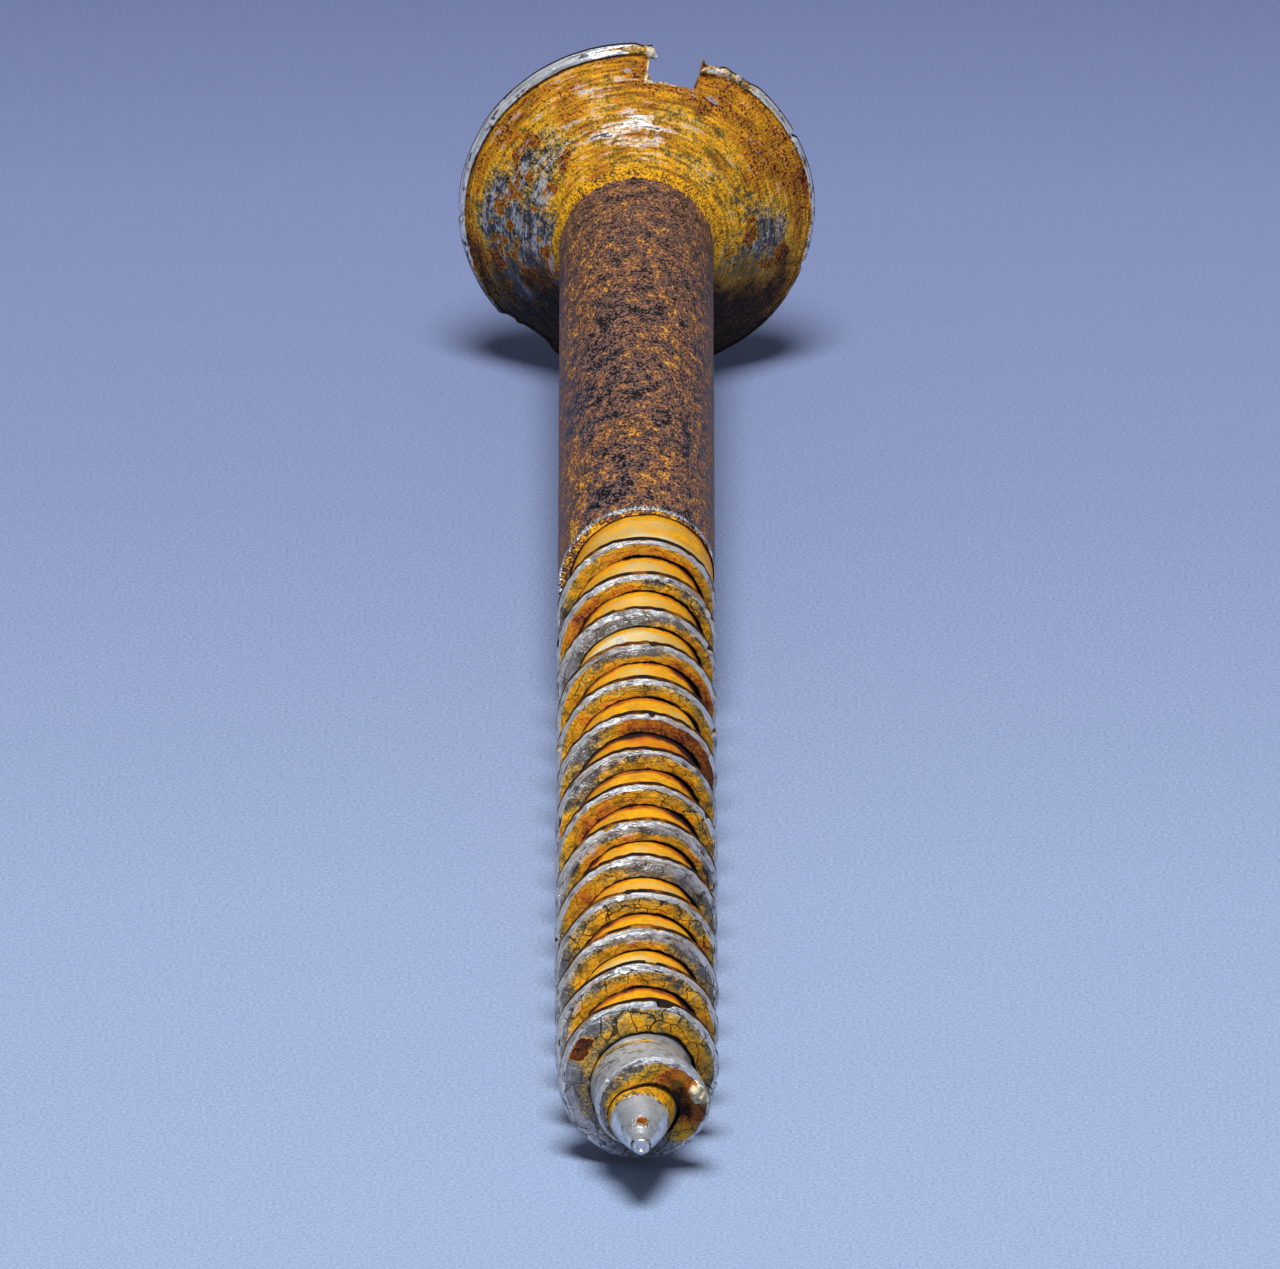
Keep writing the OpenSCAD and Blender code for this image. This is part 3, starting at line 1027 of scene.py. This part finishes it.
class BuildShank(bpy.types.Operator):
    """Builds the plain shank down to the edge where the first groove is cut"""

    bl_idname = "wood_screw.shank"
    bl_label = "Shank"

    def execute(self, context):
        """Sweeps the shank, whose lower edge climbs round the axis as the thread does."""
        turn = ring_turns(380)
        angle = turn * FULL_TURN
        degrees = np.degrees(angle)
        edge = turn_centre(turn - 1) + context.scene.screw_sizes.crest_w / MM / 2
        foot_r = groove_radius(edge + 0.1, turn - 1) + 0.06
        radius, s = shank_section(edge, foot_r)
        places = round_axis(radius, angle, s)
        outside = radius > SHANK_R - 0.03
        skin = 0.012 * noise(places, 1.6, 91, 3) + 0.008 * noise(places * (1, 1, 0.5), 0.25, 92, 2) - 0.012
        radius = radius + outside * skin
        past_edge = smooth(edge - 0.2, edge, s) * (radius > 2.3)
        s = s + past_edge * (0.06 * noise(places, 0.5, 93, 3) + 0.05 * noise(places, 0.17, 97, 2))
        nick_s = 10.15
        nick = bell(s, nick_s, 0.16) * bell(degrees, 17, 11, 4)
        radius = radius - 0.04 * nick * outside
        places = round_axis(radius, angle, s)
        piece = sheet_object("plain_shank", places)
        sharpen(piece, 50)
        wobble = noise(places * (1, 1, 0.6), 1.2, 94, 3)
        age = patched(angle + 0.25 * wobble, s + 0.9 * wobble, SHANK_PATCHES, 0.45, 0.5)
        lump = noise(places * (1, 1, 0.5), 0.8, 95, 3)
        flank = smooth(edge - 0.01, edge + 0.05, s)
        lip = smooth(edge - 0.16, edge - 0.1, s) * smooth(edge + 0.03, edge, s)
        white = bell(s, nick_s + 0.05, 0.1) * bell(degrees, 16, 7, 4) * outside
        store(
            piece,
            age=(age + 0.09 * lump) * (1 - flank) + flank * (0.8 + 0.2 * lump),
            bright=0.75 * white * (0.7 + 0.6 * lump) + lip * (0.9 + 0.6 * lump),
            # Painted shade: one half of the nick and the faces hidden under the first flank are darkened.
            dark=0.7 * nick * (s < nick_s - 0.05) + 0.8 * (radius < foot_r - 0.01),
        )
        settle(piece, "shank", bar_steel())
        return {"FINISHED"}


# ---------------------------------------------------------------- thread


# Look of each turn of the ridge, from its lower right over the top to its lower left: g gold, o orange,
# y silver over yellow, s silver, w white over orange, c crackled, m mottled, b brown, d dark brown
TURN_LOOKS = (
    "ggggggg gggogmm ggcyooo ggyssmm bbowggg ggyygyy dddbsbb gggysbb ggcgoyy "
    "ccwwwmm ccssbmm cccccmm ccswyss ggcyyss ccycmms sdbyyss sssssss"
).split()
# For each look: age at the crest and at the foot, grit, brightness, darkness and cracks
LOOK_FIELDS = {
    "g": (0.42, 0.52, 0.5, 0.1, 0.05, 0.2),
    "o": (0.52, 0.62, 0.5, 0.1, 0.1, 0.1),
    "y": (0.24, 0.5, 0.5, 0.35, 0.05, 0.2),
    "s": (0.0, 0.12, 0.5, 0.5, 0.1, 0.2),
    "w": (0.02, 0.56, 0.4, 0.55, 0.0, 0.1),
    "c": (0.24, 0.46, 0.6, 0.2, 0.05, 0.75),
    "m": (0.06, 0.2, 0.5, 0.4, 0.3, 0.15),
    "b": (0.64, 0.7, 0.5, 0.1, 0.2, 0.1),
    "d": (0.8, 0.74, 0.8, 0.1, 0.3, 0.2),
}


def looks_at(turn, words, fields, spread):
    """Values of the looks along a helix; each word gives one turn, read from the right to the left."""
    first_turn = -1
    offsets = np.linspace(-spread, spread, len(words[0]))
    at = [first_turn + k + offset for k in range(len(words)) for offset in offsets]
    table = np.array([fields[letter] for word in words for letter in word], float)
    return [np.interp(turn, at, column) for column in table.T]


# How the crest falls away round the point: turns past the last full crest, and radius over the crest
CREST_FALL = (
    (0.15, THREAD_R),
    (0.25, 3.0),
    (0.38, 2.82),
    (0.5, 2.62),
    (0.62, 2.62),
    (0.74, 2.75),
    (0.86, 2.55),
    (1.0, 2.2),
    (1.12, 1.9),
    (1.25, 1.64),
    (1.4, 1.4),
    (1.5, 1.25),
    (1.6, 1.05),
)
# Length of the ridge's trailing and leading flanks for each millimetre of its height
TRAIL_SLOPE, LEAD_SLOPE = 0.75, 0.26
# Size of the bevel worn along the leading edge of the crest
WORN = 0.14
# Radius at which lengths along the ridge are measured
RIDGE_R = 3.0


def crest_radius(turn):
    """Radius over the crest: full height, then falling away round the point."""
    past = turn - bpy.context.scene.screw_sizes.turns
    falls_at, falls_to = np.transpose(CREST_FALL)
    rise = SHANK_R + (THREAD_R - SHANK_R) * smooth(-0.5, -0.1, turn)
    return np.where(past < falls_at[0], rise, np.interp(past, falls_at, falls_to))


def ridge_section(turn):
    """Cross-sections of the ridge: radius, distance along the axis and zone, row by row.

    The zone is under 1 on the trailing flank, from 1 on the crest, from 2 on its worn bevel, from 3
    down the leading flank, and 5 under the foot.
    """
    sizes = bpy.context.scene.screw_sizes
    half = sizes.crest_w / MM / 2
    angle = turn * FULL_TURN
    last = sizes.turns + 1.02
    centre = turn_centre(np.minimum(turn, last + 0.1 * (turn - last)))
    top = crest_radius(turn)
    behind = groove_radius(centre - 0.7, turn - 1)
    run = TRAIL_SLOPE * np.clip(top - behind, 0, None) + 0.02
    drum = smooth(sizes.turns + 0.72, sizes.turns + 0.98, turn)
    run = run + (sizes.pitch / MM - 0.95 - half - run) * drum
    behind = groove_radius(centre - half - run, turn - 1) - 0.05 + 0.08 * drum
    ahead = groove_radius(centre + half + 0.1, turn)
    uneven = 0.7 * noise(round_axis(RIDGE_R, angle, centre), 1.1, 101, 2)
    lifted = np.clip(0.8 - 0.8 * np.sin(angle) + uneven, 0.05, 1.8)
    foot_r = ahead + sizes.notch / MM * lifted * smooth(0.05, 0.35, top - ahead)
    front = centre + half
    lead_run = LEAD_SLOPE * (top - foot_r)
    trail = np.linspace(0, 1, 9)[:-1, None]
    land = np.linspace(0, 1, 8)[:-1, None]
    bevel = np.array([0.0, 0.12, 0.3, 0.5, 0.7, 0.88])[:, None]
    swell = 0.02 * np.sin(math.pi * bevel)
    lead = np.linspace(0, 1, 16)[:-1, None]
    parts = [
        (behind + (top - 0.02 - behind) * trail**0.9, centre - half - run * (1 - trail), 0.2 * trail),
        (top - 0.02 + 0.02 * land, centre - half + (2 * half - WORN) * land, 1 + 0.9 * land),
        (top - WORN * bevel + swell, front - WORN + WORN * bevel + swell, 2 + bevel),
        (top - WORN + (foot_r - top + WORN) * lead, front + lead_run * lead, 3 + lead),
    ]
    under = np.array([(0.0, -0.015), (-0.06, -0.02), (-0.16, 0.0), (-0.2, -0.1), (-0.3, -0.25)])
    under_s, under_r = under.T[:, :, None]
    parts.append((foot_r + under_r, front + lead_run + under_s, np.full_like(under_s, 5)))
    return [np.vstack([part[k] + np.zeros_like(centre) for part in parts]) for k in range(3)]


def chip_at_point(turn, zone):
    """Where a chip stands out of the low ridge round the point, and the hollow it left beside it."""
    past = turn - bpy.context.scene.screw_sizes.turns
    bulge = bell(past, 0.79, 0.032, 4) * bell(zone, 3.05, 0.5, 4)
    hollow = bell(past, 0.78, 0.08, 4) * bell(zone, 3.9, 0.3, 4)
    return bulge, hollow


def from_tip(sections):
    """Cross-sections side by side as the rows of a sheet, from the lower end of the ridge upwards."""
    return np.swapaxes(sections, 0, 1)[::-1]


def build_ridge(name, first_turn, last_turn):
    """One length of the ridge, with its worn crest, crusted flank and lifted foot."""
    steps_per_turn = 400
    count = round((last_turn - first_turn) * steps_per_turn)
    turn = np.linspace(first_turn, last_turn, count + 1)
    angle = turn * FULL_TURN
    radius, s, zone = ridge_section(turn)
    looks = looks_at(turn, TURN_LOOKS, LOOK_FIELDS, spread=0.42)
    grit = looks[2]
    places = round_axis(radius, angle, s)
    on_crest = smooth(0.5, 1.0, zone) * smooth(3.2, 2.8, zone)
    on_flank = smooth(2.6, 3.1, zone) * smooth(5.0, 4.0, zone)
    worn = 0.06 * noise(places, 0.9, 111, 3) - 0.03
    nick = -0.2 * smooth(0.45, 0.75, noise(places, 0.6, 112, 2))
    ribbed = smooth(-0.15, 0.25, noise(round_axis(RIDGE_R, angle, turn_centre(turn)), 2.5, 114, 1))
    ribs = 0.014 * np.sin(angle * 30 + 3 * noise(places, 1.5, 113, 1)) * ribbed
    crust = (0.015 + 0.03 * grit) * noise(places, 0.2, 117, 3) + 0.09 * noise(places, 0.7, 116, 3)
    hang = (0.07 + 0.08 * grit) * noise(places, 0.22, 119, 3) * smooth(3.6, 4.0, zone) * (zone < 4.9)
    bulge, hollow = chip_at_point(turn, zone)
    radius = np.minimum(radius + on_crest * (worn + nick + ribs) + hang + 0.1 * bulge, THREAD_R)
    sway = 0.04 * noise(places, 0.4, 118, 2) + 0.06 * noise(places, 1.4, 120, 2)
    s = s + on_flank * crust + on_crest * sway
    s = s + 0.4 * bulge * (1 + noise(places, 0.25, 123, 3)) - 0.3 * hollow
    places = bent(round_axis(radius, angle, s))
    piece = sheet_object(name, from_tip(places))
    sharpen(piece, 60)
    across = 1.3 * zone + np.where(zone < 0.2, 10 * zone - 2, 0)
    strip = np.stack([angle * RIDGE_R + 0 * zone, across, 0 * zone], axis=-1)
    fields = {"strip": strip, **ridge_fields(places, turn, zone, looks)}
    store(piece, **{field: from_tip(values) for field, values in fields.items()})
    return piece


def ridge_fields(places, turn, zone, looks):
    """Age of the rust on the ridge, and where it is gritty, bright, pale, dark and cracked."""
    sizes = bpy.context.scene.screw_sizes
    crest_age, foot_age, grit, bright, dark, cracks = looks
    lump = noise(places, 0.8, 121, 3)
    fine = noise(places, 0.25, 122, 2)
    down = np.clip(zone - 3, 0, 1)
    flank = smooth(2.8, 3.0, zone)
    flank_age = crest_age + (foot_age - crest_age) * smooth(0.25, 0.75, down + 0.25 * lump) + 0.12 * lump
    land_age = 0.6 * smooth(2.1, 1.9, zone) + 0.2 + 0.3 * lump
    trail = smooth(0.9, 0.2, zone)
    age = (flank_age * flank + land_age * (1 - flank)) * (1 - trail) + trail * (0.5 + 0.15 * lump)
    # Painted highlight, partly real wear: the worn bevel along the crest is laid on as bare steel where the
    # lamp's reflection falls.
    line = smooth(1.95, 2.1, zone + 0.25 * fine) * smooth(3.14, 3.0, zone + 0.1 * fine)
    bare_steel_and_highlight = 1.1 * line * (0.74 + 0.8 * lump + 0.2 * fine) + flank * bright * (1.1 - down) * (1 + lump)
    # Painted shade: the flank is darker on the underside of each turn.
    under = smooth(0.36, 0.46, np.abs(turn - np.round(turn))) * flank
    drum = smooth(sizes.turns + 0.74, sizes.turns + 0.9, turn) * (zone < 2.5)
    blob = 0.9 * bell(turn, sizes.turns + 0.16, 0.04) * bell(zone, 3.35, 0.35)
    chip, hollow = chip_at_point(turn, zone)
    rear = drum * smooth(0.06, 0.0, zone)
    age = age * (1 - drum) + drum * (0.02 + 0.1 * lump) + 0.42 * rear
    age = np.maximum(age, 0.82 * smooth(0.4, 0.6, blob + 0.6 * lump + 0.4 * fine) * (blob > 0.12))
    # Painted shade, partly dark rust: the flat of the crest is darkened.
    land_rust_and_shade = (0.72 + 0.7 * lump + 0.3 * fine) * smooth(2.1, 1.85, zone) * (1 - trail) * (1 - drum)
    flank_dark = flank * dark * (0.8 + 1.2 * lump)
    return {
        "age": age,
        "grit": (0.2 + 0.6 * flank * grit) * (1 - drum) + 0.2 * drum,
        "bright": bare_steel_and_highlight * (1 - drum) + drum * (0.95 + 0.5 * lump) - rear - blob,
        "pale": 1.3 * chip,
        # Painted shade under the lifted foot (zone over 4.5) and in the hollow beside the chip.
        "dark": 0.95 * (zone > 4.5) + flank_dark + land_rust_and_shade + 0.5 * hollow - chip + 0.4 * under,
        "cracks": cracks * flank * (1 - drum),
    }


class BuildThread(bpy.types.Operator):
    """Builds the ridge of the thread in lengths that meet end to end"""

    bl_idname = "wood_screw.thread"
    bl_label = "Thread"

    def execute(self, context):
        """Sweeps each length of the ridge."""
        material = rusted_steel(
            "rusted_cut_steel",
            context.scene.screw_colours.worn_steel,
            marks_size=0.12,
            marks_stretch=(4, 1, 1),
            streaks=0.25,
            lump_size=0.7,
            scores=0.38,
            cracked=True,
        )
        ends = (CUT_START + 1, 4.6, 9.6, context.scene.screw_sizes.turns + CREST_FALL[-1][0])
        names = ("thread_upper_turns", "thread_middle_turns", "thread_lower_turns")
        for name, first, last in zip(names, ends, ends[1:]):
            settle(build_ridge(name, first, last), "thread", material)
        return {"FINISHED"}


# Look of the groove below each turn of the ridge, as in TURN_LOOKS: p pale, c cream, g gold, o orange,
# b brown, each with its age
GROOVE_LOOKS = "gcg gcg gco gpp oco cgg bob ogo ogg oco gco cgo gcc ogo ogo".split()
GROOVE_AGES = {"p": (0.14,), "c": (0.27,), "g": (0.48,), "o": (0.64,), "b": (0.78,)}


class BuildCore(bpy.types.Operator):
    """Builds the floor of the groove between the turns"""

    bl_idname = "wood_screw.core"
    bl_label = "Thread core"

    def execute(self, context):
        """Sweeps the core, which comes up to the shank where the cut begins."""
        sizes = context.scene.screw_sizes
        pitch = sizes.pitch / MM
        crest_half = sizes.crest_w / MM / 2
        turn_share = ring_turns(260)
        angle = turn_share * FULL_TURN
        s = np.linspace(PLAIN_L - 2, POINT_START + 0.1, 350)[:, None] + np.zeros_like(angle)
        turn = np.floor((s - turn_centre(turn_share)) / pitch) + turn_share
        radius = np.where(turn < CUT_START, CORE_TOP_R - 0.3, groove_radius(s, turn))
        radius = radius + 0.012 * noise(round_axis(radius, angle, s), 1.2, 131, 3)
        places = bent(round_axis(radius, angle, s))
        piece = sheet_object("groove_floor", places)
        sharpen(piece, 60)
        past_crest = s - turn_centre(turn)
        past_foot = past_crest - crest_half - 0.12
        to_next = pitch - past_crest - crest_half - 0.5
        lump = noise(places, 1.1, 132, 2)
        fine = noise(places, 0.3, 133, 3)
        (look_age,) = looks_at(turn, GROOVE_LOOKS, GROOVE_AGES, spread=0.16)
        edge = 0.34 * smooth(0.6, 0.1, past_foot + 0.15 * fine) - 0.18 * smooth(0.7, 0.1, to_next)
        near_tip = smooth(SCREW_L - 5.2, SCREW_L - 4.6, s)
        store(
            piece,
            age=(look_age + edge + 0.1 * lump) * (1 - near_tip) + near_tip * (0.04 + 0.1 * lump + edge),
            # Painted shadow of the lifted foot, on the groove just below it.
            dark=0.6 * smooth(0.14, 0.02, past_foot + 0.1 * fine) * (1 + lump),
        )
        settle(piece, "thread_core", stained_groove())
        return {"FINISHED"}


# The worn nub at the tip, down into its small hollow: radius and distance back from the end
NUB = ((0.38, 0.16), (0.3, 0.13), (0.3, 0.06), (0.26, 0.02), (0.18, 0.02), (0.12, 0.1), (0.03, 0.1))


def point_outline():
    """Radius and distance along the axis of the point: the curve of the core, then the nub."""
    s = SCREW_L - (SCREW_L - POINT_START) * np.linspace(1, 0.075, 150) ** 1.7
    body = np.stack([core_radius(s), s], -1)
    body = body[body[:, 0] > NUB[0][0] + 0.02]
    nub = [(radius, SCREW_L - back) for radius, back in NUB]
    return np.vstack([[(0.5, POINT_START)], body, nub])


class BuildPoint(bpy.types.Operator):
    """Builds the gimlet point with its little worn nub"""

    bl_idname = "wood_screw.point"
    bl_label = "Gimlet point"

    def execute(self, context):
        """Sweeps the point and rings it with turning marks."""
        outline = point_outline()
        angle = ring_angles(260)
        degrees = signed_degrees(angle)
        radius = outline[:, :1] + np.zeros_like(angle)
        s = outline[:, 1:] + np.zeros_like(angle)
        places = round_axis(radius, angle, s)
        marks = 0.004 * noise(places * (0.25, 0.25, 1), 0.45, 141, 2) + 0.014 * noise(places, 0.45, 142, 3)
        radius = radius + marks * smooth(0.2, 0.5, radius)
        places = bent(round_axis(radius, angle, s))
        piece = sheet_object("gimlet_cone", places)
        sharpen(piece, 50)
        lump = noise(places, 0.5, 143, 3)
        rear = smooth(SCREW_L - 2.15, SCREW_L - 2.75, s) * smooth(SCREW_L - 3.6, SCREW_L - 3.3, s)
        spot = bell(degrees, -6, 24) * bell(s, SCREW_L - 1.0, 0.22)
        # Painted highlight on the top of the point.
        bare_steel_and_highlight = 0.3 * bell(degrees, 0, 30) * bell(s, SCREW_L - 1.5, 0.5)
        ring = bell(s, SCREW_L - 0.15, 0.05) * (radius > 0.2)
        age = 0.08 + 0.1 * lump + 0.42 * rear
        store(
            piece,
            age=np.maximum(age, 0.74 * smooth(0.35, 0.6, spot + 0.25 * lump)),
            grit=0.25 + 0.5 * rear,
            bright=0.72 + 0.3 * lump - rear - spot + bare_steel_and_highlight,
            # Painted shade in the nub's little hollow, where the radius is under 0.2.
            dark=0.6 * ring + 0.2 * (radius < 0.2),
        )
        material = rusted_steel(
            "bright_turned_steel",
            context.scene.screw_colours.worn_steel,
            marks_size=0.16,
            marks_stretch=(5, 5, 1),
            streaks=0.12,
            scores=0.16,
            bright_metal=0.7,
        )
        settle(piece, "gimlet_point", material)
        return {"FINISHED"}


# ---------------------------------------------------------------- stage


def paper_material():
    """Uncoated lavender paper: matt, with a faint fibre grain, and painted darker as it runs back, for the
    light that falls off.
    """
    material, tree, _ = new_material("uncoated_lavender_paper")
    spot = add_node(tree, "ShaderNodeTexCoord").outputs["Object"]
    split = add_node(tree, "ShaderNodeSeparateXYZ", {0: spot})
    inputs = {"Value": split.outputs["Y"], "From Min": -50 * MM, "From Max": 90 * MM}
    share = add_node(tree, "ShaderNodeMapRange", inputs).outputs["Result"]
    # Painted falloff of the light: the paper's colour darkens towards the back.
    tints = ((0.0, "#9badcf"), (0.27, "#9bacd0"), (0.57, "#909fc7"), (0.82, "#8b98c5"), (1.0, "#7b88b3"))
    stops = [(at, linear(tint)) for at, tint in tints]
    ramp = add_node(tree, "ShaderNodeValToRGB", {"Fac": share}, stops)
    fibre_size = 0.13 * MM
    inputs = {"Vector": spot, "Scale": 1 / fibre_size, "Detail": 4.0, "Roughness": 0.7}
    fibres = add_node(tree, "ShaderNodeTexNoise", inputs).outputs["Fac"]
    inputs = {"Value": share, "From Min": 0.5, "From Max": 0.8, "To Min": 1.3, "To Max": 0.35}
    strength = add_node(tree, "ShaderNodeMapRange", inputs).outputs["Result"]
    inputs = {0: ramp.outputs["Color"], "Scale": roughened(tree, 1.0, (fibres, strength))}
    tinted = add_node(tree, "ShaderNodeVectorMath", inputs, operation="SCALE")
    bump = add_node(tree, "ShaderNodeBump", {"Distance": 0.04 * MM, "Height": fibres})
    inputs = {
        "Base Color": tinted.outputs[0],
        "Normal": bump.outputs["Normal"],
        "Roughness": 0.95,
        "Specular IOR Level": 0.1,
    }
    surface = add_node(tree, "ShaderNodeBsdfPrincipled", inputs)
    add_node(tree, "ShaderNodeOutputMaterial", {"Surface": surface.outputs["BSDF"]})
    return material


def sky(level):
    """Plain surroundings: bright overhead and towards the front, darker low down at the back."""
    world = bpy.data.worlds.new("soft_surroundings")
    bpy.context.scene.world = world
    world.use_nodes = True
    tree = world.node_tree
    tree.nodes.clear()
    spot = add_node(tree, "ShaderNodeTexCoord").outputs["Generated"]
    bright_way = Vector((0, -0.3, 0.954))
    facing = add_node(tree, "ShaderNodeVectorMath", {0: spot, 1: bright_way}, operation="DOT_PRODUCT")
    inputs = {"Value": facing.outputs["Value"], "From Min": -0.3, "From Max": 0.9}
    inputs.update({"To Min": 0.15 * level, "To Max": 1.35 * level})
    share = add_node(tree, "ShaderNodeMapRange", inputs)
    inputs = {"Color": linear("#f2f5ff"), "Strength": share.outputs["Result"]}
    light = add_node(tree, "ShaderNodeBackground", inputs)
    add_node(tree, "ShaderNodeOutputWorld", {"Surface": light.outputs["Background"]})


def lay_paper():
    """A flat sheet under the screw, much larger than the picture."""
    half = 1.0
    sheet = [(-half, -half, 0), (half, -half, 0), (half, half, 0), (-half, half, 0)]
    mesh = bpy.data.meshes.new("paper")
    mesh.from_pydata(sheet, [], [(0, 1, 2, 3)])
    mesh.materials.append(paper_material())
    paper = bpy.data.objects.new("paper", mesh)
    bpy.context.scene.collection.objects.link(paper)


def set_up(data, height, distance, aim):
    """A lamp or camera in front of the screw, at an angle above the paper, that faces a point."""
    away = Vector((0, -math.cos(height), math.sin(height)))
    made = bpy.data.objects.new(data.name, data)
    made.location = aim + away * distance
    made.rotation_euler = away.to_track_quat("Z", "Y").to_euler()
    bpy.context.scene.collection.objects.link(made)
    return made


class BuildStage(bpy.types.Operator):
    """Lays the paper, hangs the soft lamp and places the camera"""

    bl_idname = "wood_screw.stage"
    bl_label = "Stage"

    def execute(self, context):
        """Makes the floor, the light and the camera."""
        look = context.scene.screw_stage
        lay_paper()
        sky(look.sky_level)
        lamp = bpy.data.lights.new("soft_lamp", "AREA")
        lamp.shape = "DISK"
        lamp.size = look.lamp_width
        # A disc facing a flat sheet lights it by power * sin(height) / (pi * distance)^2 of white
        lamp.energy = look.lamp_level * (math.pi * look.lamp_distance) ** 2 / math.sin(look.lamp_height)
        set_up(lamp, look.lamp_height, look.lamp_distance, Vector((0, 0, 0)))
        camera = bpy.data.cameras.new("camera")
        camera.lens = look.lens
        camera.clip_start = 0.1
        aim = Vector((look.aim_side, look.aim_back, look.aim_height))
        context.scene.camera = set_up(camera, look.camera_height, look.camera_distance, aim)
        context.scene.view_settings.view_transform = "Standard"
        return {"FINISHED"}


# ---------------------------------------------------------------- add-on


OPERATORS = (BuildStage, BuildHead, BuildNeck, BuildShank, BuildThread, BuildCore, BuildPoint)


class WoodScrewPanel(bpy.types.Panel):
    """Lists the screw's sizes, its colours and the steps that build it"""

    bl_idname = "VIEW3D_PT_wood_screw"
    bl_label = "Wood Screw"
    bl_space_type = "VIEW_3D"
    bl_region_type = "UI"
    bl_category = "Wood Screw"

    def draw(self, context):
        """Draws the settings and one button for each step."""
        for group in (context.scene.screw_sizes, context.scene.screw_colours, context.scene.screw_stage):
            for name in group.bl_rna.properties.keys():
                if name not in ("rna_type", "name"):
                    self.layout.prop(group, name)
        for operator in OPERATORS:
            self.layout.operator(operator.bl_idname)


CLASSES = (ScrewSizes, ScrewColours, StageLook, *OPERATORS, WoodScrewPanel)


def register():
    """Adds the classes and the scene's settings."""
    for cls in CLASSES:
        bpy.utils.register_class(cls)
    bpy.types.Scene.screw_sizes = PointerProperty(type=ScrewSizes)
    bpy.types.Scene.screw_colours = PointerProperty(type=ScrewColours)
    bpy.types.Scene.screw_stage = PointerProperty(type=StageLook)


def unregister():
    """Takes them away again."""
    del bpy.types.Scene.screw_stage
    del bpy.types.Scene.screw_colours
    del bpy.types.Scene.screw_sizes
    for cls in reversed(CLASSES):
        bpy.utils.unregister_class(cls)


def main():
    """Builds the whole screw on its stage."""
    register()
    bpy.ops.wood_screw.stage()
    bpy.ops.wood_screw.head()
    bpy.ops.wood_screw.neck()
    bpy.ops.wood_screw.shank()
    bpy.ops.wood_screw.thread()
    bpy.ops.wood_screw.core()
    bpy.ops.wood_screw.point()


if __name__ == "__main__":
    main()
